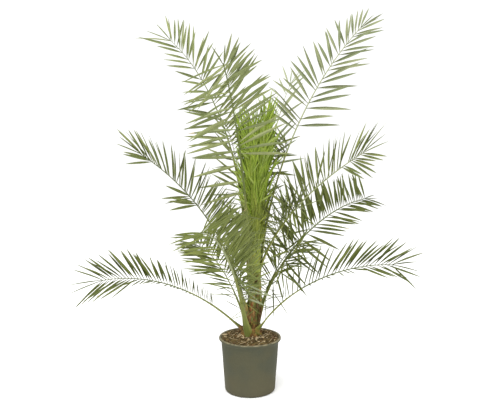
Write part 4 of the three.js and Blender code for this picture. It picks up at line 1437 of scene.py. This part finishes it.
def trunk_point(height, heading, relief):
    """A place on the trunk's surface, that much proud of its smooth form."""
    twist = TRUNK_FLUTE_TWIST * height / TRUNK_HEIGHT
    flute = np.cos(np.radians(TRUNK_FLUTES * heading + twist))
    radius = trunk_radius(np.maximum(height, 0)) * (1 + TRUNK_FLUTE_DEPTH * flute) + relief
    return trunk_centre(height) + outward(heading) * radius[..., None]


def leaf_base_relief(height, heading, sizes):
    """Overlapping leaf bases: each stands out most at its top edge. Also where the seams lie."""
    ring = trunk_point(height, heading, np.zeros_like(height))
    course = height / sizes.base_pitch + BASE_ROW_WAVER * ripple(ring, BASE_ROW_SEED, BASE_ROW_WAVE)
    row = np.floor(course)
    waver = BASE_TURN_WAVER * ripple(ring, BASE_TURN_SEED, BASE_TURN_WAVE)
    turn = heading / 360 * BASES_A_TURN + 0.5 * (row % 2) + waver
    x = (turn % 1 - 0.5) * 2
    crown = np.sqrt(np.maximum(0, 1 - BASE_CROWN * x * x))
    stand = (course - row) ** BASE_CURVE * crown
    stretched = ring * np.array((1.0, 1.0, FIBRE_STRETCH))
    fibre = sum(ripple(stretched, SEED + offset, wave) * depth for offset, wave, depth in FIBRE_WAVES)
    seam = (stand < SEAM_LEVEL).astype(int)
    return sizes.base_relief * (stand - BASE_LEVEL) + fibre, seam


def add_stub(skin, heading, rng):
    """A cut leaf base that hugs the trunk and ends in a pale cut."""
    out = outward(float(heading))
    side = np.cross(out, UP)
    rise = math.radians(STUB_RISE)
    along = out * math.cos(rise) + UP * math.sin(rise)
    across = np.cross(side, along)
    root = trunk_centre(STUB_FOOT) + out * (trunk_radius(STUB_FOOT) - STUB_SINK)
    s = np.linspace(0, 1, STUB_ROWS)
    angle = np.linspace(0, 2 * math.pi, STUB_SIDES, endpoint=False)
    waver = 1 + STUB_WAVER * rng.normal(size=(STUB_ROWS, 1))
    x = np.cos(angle)[None] * (STUB_HALF_WIDTH * mix(1, STUB_TAPER, s)[:, None] * waver)
    y = np.sin(angle)[None] * STUB_HALF_THICKNESS * mix(1.0, STUB_THINS, s)[:, None]
    hug = -STUB_HUG * x * x / STUB_HALF_WIDTH
    ragged = STUB_RAGGED * rng.normal(size=STUB_SIDES) * (s[:, None] ** 4)
    reach = (STUB_LENGTH * s)[:, None] + ragged
    rings = root + along * reach[..., None] + side * x[..., None] + across * (y + hug)[..., None]
    skin.loft(rings, 0, 1)


def add_flake(skin, rng):
    """A dry scrap of leaf sheath that clings to the trunk."""
    s = np.linspace(0, 1, FLAKE_ROWS)
    height = rng.uniform(*FLAKE_HEIGHTS) + rng.uniform(*FLAKE_LENGTHS) * s
    heading = rng.uniform(0, 360) + rng.normal() * FLAKE_TURN * s
    half = rng.uniform(*FLAKE_HALF_TURNS) * np.sin(math.pi * mix(*FLAKE_SWELL, s))
    half = half * rng.uniform(*FLAKE_RAGGED, FLAKE_ROWS)
    proud = FLAKE_PROUD + rng.uniform(*FLAKE_PEELS) * s
    rings = [trunk_point(height, heading + turn * half, proud + rise) for turn, rise in FLAKE_CORNERS]
    skin.loft(np.stack(rings, 1), int(rng.integers(FIBRE_FINISHES)))


def add_fibre(skin, rng):
    """One loose fibre that leaves the trunk and curls away."""
    length = rng.uniform(*FIBRE_LENGTHS)
    low = rng.beta(*FIBRE_LOWS) * TRUNK_HEIGHT * FIBRE_REACH
    s = np.linspace(0, 1, FIBRE_POINTS)
    heading = rng.uniform(0, 360) + rng.normal() * FIBRE_TURN * s + rng.normal() * FIBRE_BEND * s ** 2
    proud = FIBRE_PROUD + rng.uniform(*FIBRE_CURLS) * s ** 2
    path = trunk_point(low + length * s, heading, proud)
    radii = np.linspace(*FIBRE_RADII, FIBRE_POINTS) * rng.uniform(*FIBRE_SPREAD)
    skin.tube(path, radii, FIBRE_SIDES, int(rng.integers(FIBRE_FINISHES)), FIBRE_FLAT)


class PALM_OT_make_trunk(bpy.types.Operator):
    """Makes the trunk with its leaf bases, the cut leaf bases at its foot and loose fibres"""

    bl_idname = "palm.make_trunk"
    bl_label = "Trunk"

    def execute(self, context):
        colours = context.scene.palm_colours
        sizes = context.scene.palm_plant
        heights = np.linspace(-TRUNK_BURIED, TRUNK_HEIGHT, TRUNK_ROWS)
        headings = np.linspace(0, 360, TRUNK_TURNS, endpoint=False)
        height, heading = np.meshgrid(heights, headings, indexing="ij")
        relief, seam = leaf_base_relief(height, heading, sizes)
        trunk = Skin()
        trunk.loft(trunk_point(height, heading, relief), seam[:-1])
        finishes = [trunk_wrap("trunk_base", colours, *GREEN_HEIGHTS),
                    trunk_wrap("trunk_seam", colours, *SEAM_GREEN_HEIGHTS)]
        settle(trunk.build("trunk_bark", finishes), "trunk_fibre", "trunk")
        rng = np.random.default_rng(TRUNK_SEED)
        stubs = Skin()
        for stub_heading in STUB_HEADINGS:
            add_stub(stubs, stub_heading, rng)
        finishes = [fibrous("dry_sheath", colours.fibre), fibrous("cut_face", tinted(colours.fibre, 1.2))]
        settle(stubs.build("cut_leaf_bases", finishes), "trunk_fibre", "trunk")
        fibres = Skin()
        for _ in range(sizes.fibre_count):
            add_fibre(fibres, rng)
        for _ in range(FLAKE_COUNT):
            add_flake(fibres, rng)
        finishes = [fibrous("fibre_brown", colours.fibre), fibrous("fibre_dark", tinted(colours.fibre, 0.5)),
                    fibrous("fibre_red", tinted(colours.fibre, (1.15, 0.8, 0.6)))]
        settle(fibres.build("trunk_fibres", finishes), "trunk_fibre", "trunk")
        return {"FINISHED"}


# Fronds

SPEAR_SHARES = np.array((0.0, 0.3, 0.6, 0.85, 1.0))
SPEAR_RADII = (0.006, 0.0065, 0.0066, 0.0042, 0.0004)
SPEAR_SIDES = 10
SPEAR_LEAFLETS = 30
SPEAR_LEAFY = (0.28, 0.5)
SPEAR_TURN = 137.5
SPEAR_PROUD = 0.004
SPEAR_LEANS = (3, 9)
SPEAR_LEAF_LENGTHS = (0.16, 0.22)
SPEAR_LEAF_WIDTH = 0.009
SPEAR_TWIST = 0.4
YOUNG_SPINE_SHARE = 0.7
BELOW_FOOT = -1.0
PAST_TIP = 2.0
NO_BAND = (PAST_TIP, PAST_TIP, 0)
BAND_FINISH = 2
RIB_FINISHES = {"pale": BAND_FINISH, "olive": BAND_FINISH + 1}


class PALM_OT_make_stalks(bpy.types.Operator):
    """Makes the stalks and ribs of the grown fronds"""

    bl_idname = "palm.make_stalks"
    bl_label = "Stalks and ribs"

    def execute(self, context):
        colours = context.scene.palm_colours
        sizes = context.scene.palm_plant
        stalks = Skin()
        ribs = Skin()
        for frond in FRONDS:
            dry = (BELOW_FOOT, frond["dry_foot"], BAND_FINISH)
            add_rib(stalks, frond, 0.0, frond["bare"], dry, sizes)
            slim = (frond["bare"] + RIB_COLOUR_FROM, PAST_TIP, RIB_FINISHES[frond["rib"]])
            add_rib(ribs, frond, frond["bare"], 1.0, slim, sizes)
        green = [green_stalk("stalk_green", colours.stalk, colours.fibre),
                 green_stalk("stalk_edge", colours.stalk_edge, colours.fibre)]
        dry = fibrous("stalk_dry", tinted(colours.fibre, (1.1, 1.15, 1.2)))
        settle(stalks.build("frond_stalks", green + [dry]), "frond_green", *STALK_NODES)
        slim = [green_stalk("rib_pale", colours.rib, colours.rib),
                green_stalk("rib_olive", colours.rib_olive, colours.rib)]
        settle(ribs.build("frond_ribs", green + slim), "frond_green", *BLADE_NODES)
        return {"FINISHED"}


class PALM_OT_make_leaflets(bpy.types.Operator):
    """Makes the leaflets of the grown fronds"""

    bl_idname = "palm.make_leaflets"
    bl_label = "Leaflets"

    def execute(self, context):
        colours = context.scene.palm_colours
        sizes = context.scene.palm_plant
        materials = []
        tints = {}
        # Partly painted light and shade: paler greens for the high fronds, darker for the low ones.
        greens = {"pale": colours.leaf_pale, "high": colours.leaf_high, "upper": colours.leaf_upper,
                  "middle": colours.leaf_middle, "low": colours.leaf_low, "front": colours.leaf_front}
        for name, base in greens.items():
            tints[name] = len(materials)
            materials.extend(tint_materials(f"leaf_{name}", base))
        dry = len(materials)
        materials.append(leaf_blade("leaf_dry", colours.leaf_dry))
        skin = Skin()
        for i, frond in enumerate(FRONDS):
            rng = np.random.default_rng(FROND_SEED + i)
            add_leaflets(skin, frond, rng, sizes, (sizes.leaflet_width, sizes.spine_width), tints, dry)
        settle(skin.build("frond_leaflets", materials), "frond_green", *BLADE_NODES)
        return {"FINISHED"}


def add_spear(skin, rng):
    """The unopened leaf: a slim core with folded leaflets pressed along it."""
    path = trunk_centre(TRUNK_HEIGHT + SPEAR_LENGTH * SPEAR_SHARES)
    skin.tube(path, SPEAR_RADII, SPEAR_SIDES, 1)
    axis = unit(path[-1] - path[0])
    start, reach = SPEAR_LEAFY
    for i in range(SPEAR_LEAFLETS):
        share = start + reach * i / SPEAR_LEAFLETS
        out = outward(SPEAR_TURN * i)
        root = trunk_centre(TRUNK_HEIGHT + SPEAR_LENGTH * share) + out * SPEAR_PROUD
        lean = math.radians(rng.uniform(*SPEAR_LEANS))
        way = unit(axis * math.cos(lean) + out * math.sin(lean))
        normal = unit(-out - way * (-out @ way))
        length = rng.uniform(*SPEAR_LEAF_LENGTHS)
        twists = (0.0, rng.normal() * SPEAR_TWIST)
        finish = int(rng.integers(TINTS))
        add_blade(skin, finish, root, way, normal, length, SPEAR_LEAF_WIDTH, 0.0, twists)


class PALM_OT_make_young_leaves(bpy.types.Operator):
    """Makes the upright tuft of young fronds and the unopened leaf in its middle"""

    bl_idname = "palm.make_young_leaves"
    bl_label = "Young leaves"

    def execute(self, context):
        colours = context.scene.palm_colours
        sizes = context.scene.palm_plant
        rng = np.random.default_rng(YOUNG_SEED)
        ribs = Skin()
        leaflets = Skin()
        widths = (sizes.young_width, sizes.young_width * YOUNG_SPINE_SHARE)
        for frond in young_fronds():
            add_rib(ribs, frond, 0.0, 1.0, NO_BAND, sizes)
            add_leaflets(leaflets, frond, rng, sizes, widths, {"young": 0, "soft": 2 * TINTS + 1}, TINTS)
        finishes = [green_stalk("young_rib", colours.rib_young, colours.fibre),
                    green_stalk("young_rib_edge", tinted(colours.rib_young, 1.3), colours.fibre)]
        settle(ribs.build("young_ribs", finishes), "young_green", *YOUNG_NODES)
        finishes = tint_materials("leaf_young", colours.leaf_young)
        finishes.append(leaf_blade("young_tip", tinted(colours.leaf_young, (1.4, 1.2, 1.2))))
        finishes.extend(tint_materials("leaf_young_low", colours.rib_young))
        finishes.extend(tint_materials("leaf_young_soft", colours.leaf_soft))
        settle(leaflets.build("young_leaflets", finishes), "young_green", *YOUNG_NODES)
        spear = Skin()
        add_spear(spear, rng)
        finishes = tint_materials("spear_leaf", tinted(colours.leaf_young, (1.1, 1.1, 1.0)))
        settle(spear.build("spear", finishes), "young_green", "spear_leaf")
        return {"FINISHED"}


# Stage

FLOOR_REACH = 14.0
KEY_PLACE = (-0.7, -1.5, 4.5)
KEY_SIZE = 3.4
FILL_PLACE = (1.6, -3.4, 1.9)
FILL_SIZE = 2.2
LIGHT_AIM = (0.0, 0.0, 0.9)
SENSOR_WIDTH = 36.0


def add_floor(scene):
    """The pale floor, which is not part of the palm."""
    reach = FLOOR_REACH
    mesh = bpy.data.meshes.new("floor")
    corners = [(-reach, -reach, 0), (reach, -reach, 0), (reach, reach, 0), (-reach, reach, 0)]
    mesh.from_pydata(corners, [], [(0, 1, 2, 3)])
    finish = Finish("studio_floor", roughness=0.8, specular=0.2)
    patch = finish.mottle(scene.palm_colours.floor, 0.99, 1.0, scale=3.0, detail=2.0, spread=0.3)
    finish.graph.put(finish.shader, "Base Color", patch["Color"])
    mesh.materials.append(finish.material)
    floor = bpy.data.objects.new("floor", mesh)
    scene.collection.objects.link(floor)
    floor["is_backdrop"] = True


def add_light(scene, name, place, size, power):
    """A round soft light that looks at the middle of the palm."""
    light = bpy.data.lights.new(name, "AREA")
    light.shape = "DISK"
    light.size = size
    light.energy = power
    lamp = bpy.data.objects.new(name, light)
    lamp.location = place
    x, y, z = np.subtract(LIGHT_AIM, place)
    lamp.rotation_euler = (math.atan2(math.hypot(x, y), -z), 0.0, math.atan2(y, x) - math.pi / 2)
    scene.collection.objects.link(lamp)


class PALM_OT_make_stage(bpy.types.Operator):
    """Makes the floor, the lights, the surroundings and the camera"""

    bl_idname = "palm.make_stage"
    bl_label = "Stage"

    def execute(self, context):
        scene = context.scene
        stage = scene.palm_stage
        scene.view_settings.view_transform = "Standard"
        add_floor(scene)
        world = bpy.data.worlds.new("studio")
        world.use_nodes = True
        background = world.node_tree.nodes["Background"]
        background.inputs["Color"].default_value = (1.0, 1.0, 1.0, 1.0)
        background.inputs["Strength"].default_value = stage.sky
        scene.world = world
        add_light(scene, "key", KEY_PLACE, KEY_SIZE, stage.key)
        add_light(scene, "fill", FILL_PLACE, FILL_SIZE, stage.fill)
        camera = bpy.data.objects.new("camera", bpy.data.cameras.new("camera"))
        camera.location = (0.0, -stage.distance, stage.camera_height)
        camera.rotation_euler = (math.pi / 2 - stage.pitch, 0.0, 0.0)
        camera.data.sensor_width = SENSOR_WIDTH
        camera.data.lens = SENSOR_WIDTH * stage.focal_pixels / stage.image_width
        scene.collection.objects.link(camera)
        scene.camera = camera
        return {"FINISHED"}


class PALM_PT_tools(bpy.types.Panel):
    """Lists what makes up the palm"""

    bl_label = "Potted Date Palm"
    bl_idname = "PALM_PT_tools"
    bl_space_type = "VIEW_3D"
    bl_region_type = "UI"
    bl_category = "Palm"

    def draw(self, context):
        for operator in OPERATORS:
            self.layout.operator(operator.bl_idname)


OPERATORS = (PALM_OT_make_stage, PALM_OT_make_pot, PALM_OT_make_soil, PALM_OT_scatter_litter,
             PALM_OT_make_trunk, PALM_OT_make_stalks, PALM_OT_make_leaflets, PALM_OT_make_young_leaves)
SETTINGS = {"palm_pot": PalmPotSizes, "palm_plant": PalmPlantSizes, "palm_colours": PalmColours,
            "palm_stage": PalmStage}


def register():
    for settings in SETTINGS.values():
        bpy.utils.register_class(settings)
    for name, settings in SETTINGS.items():
        setattr(bpy.types.Scene, name, PointerProperty(type=settings))
    for operator in OPERATORS:
        bpy.utils.register_class(operator)
    bpy.utils.register_class(PALM_PT_tools)


def unregister():
    bpy.utils.unregister_class(PALM_PT_tools)
    for operator in reversed(OPERATORS):
        bpy.utils.unregister_class(operator)
    for name in SETTINGS:
        delattr(bpy.types.Scene, name)
    for settings in SETTINGS.values():
        bpy.utils.unregister_class(settings)


def main():
    register()
    bpy.ops.palm.make_stage()
    bpy.ops.palm.make_pot()
    bpy.ops.palm.make_soil()
    bpy.ops.palm.scatter_litter()
    bpy.ops.palm.make_trunk()
    bpy.ops.palm.make_stalks()
    bpy.ops.palm.make_leaflets()
    bpy.ops.palm.make_young_leaves()
    boxes = {"cad": CAD_BOX, "visual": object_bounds()}
    {name: [list(corner) for corner in box] for name, box in boxes.items()}


if __name__ == "__main__":
    main()
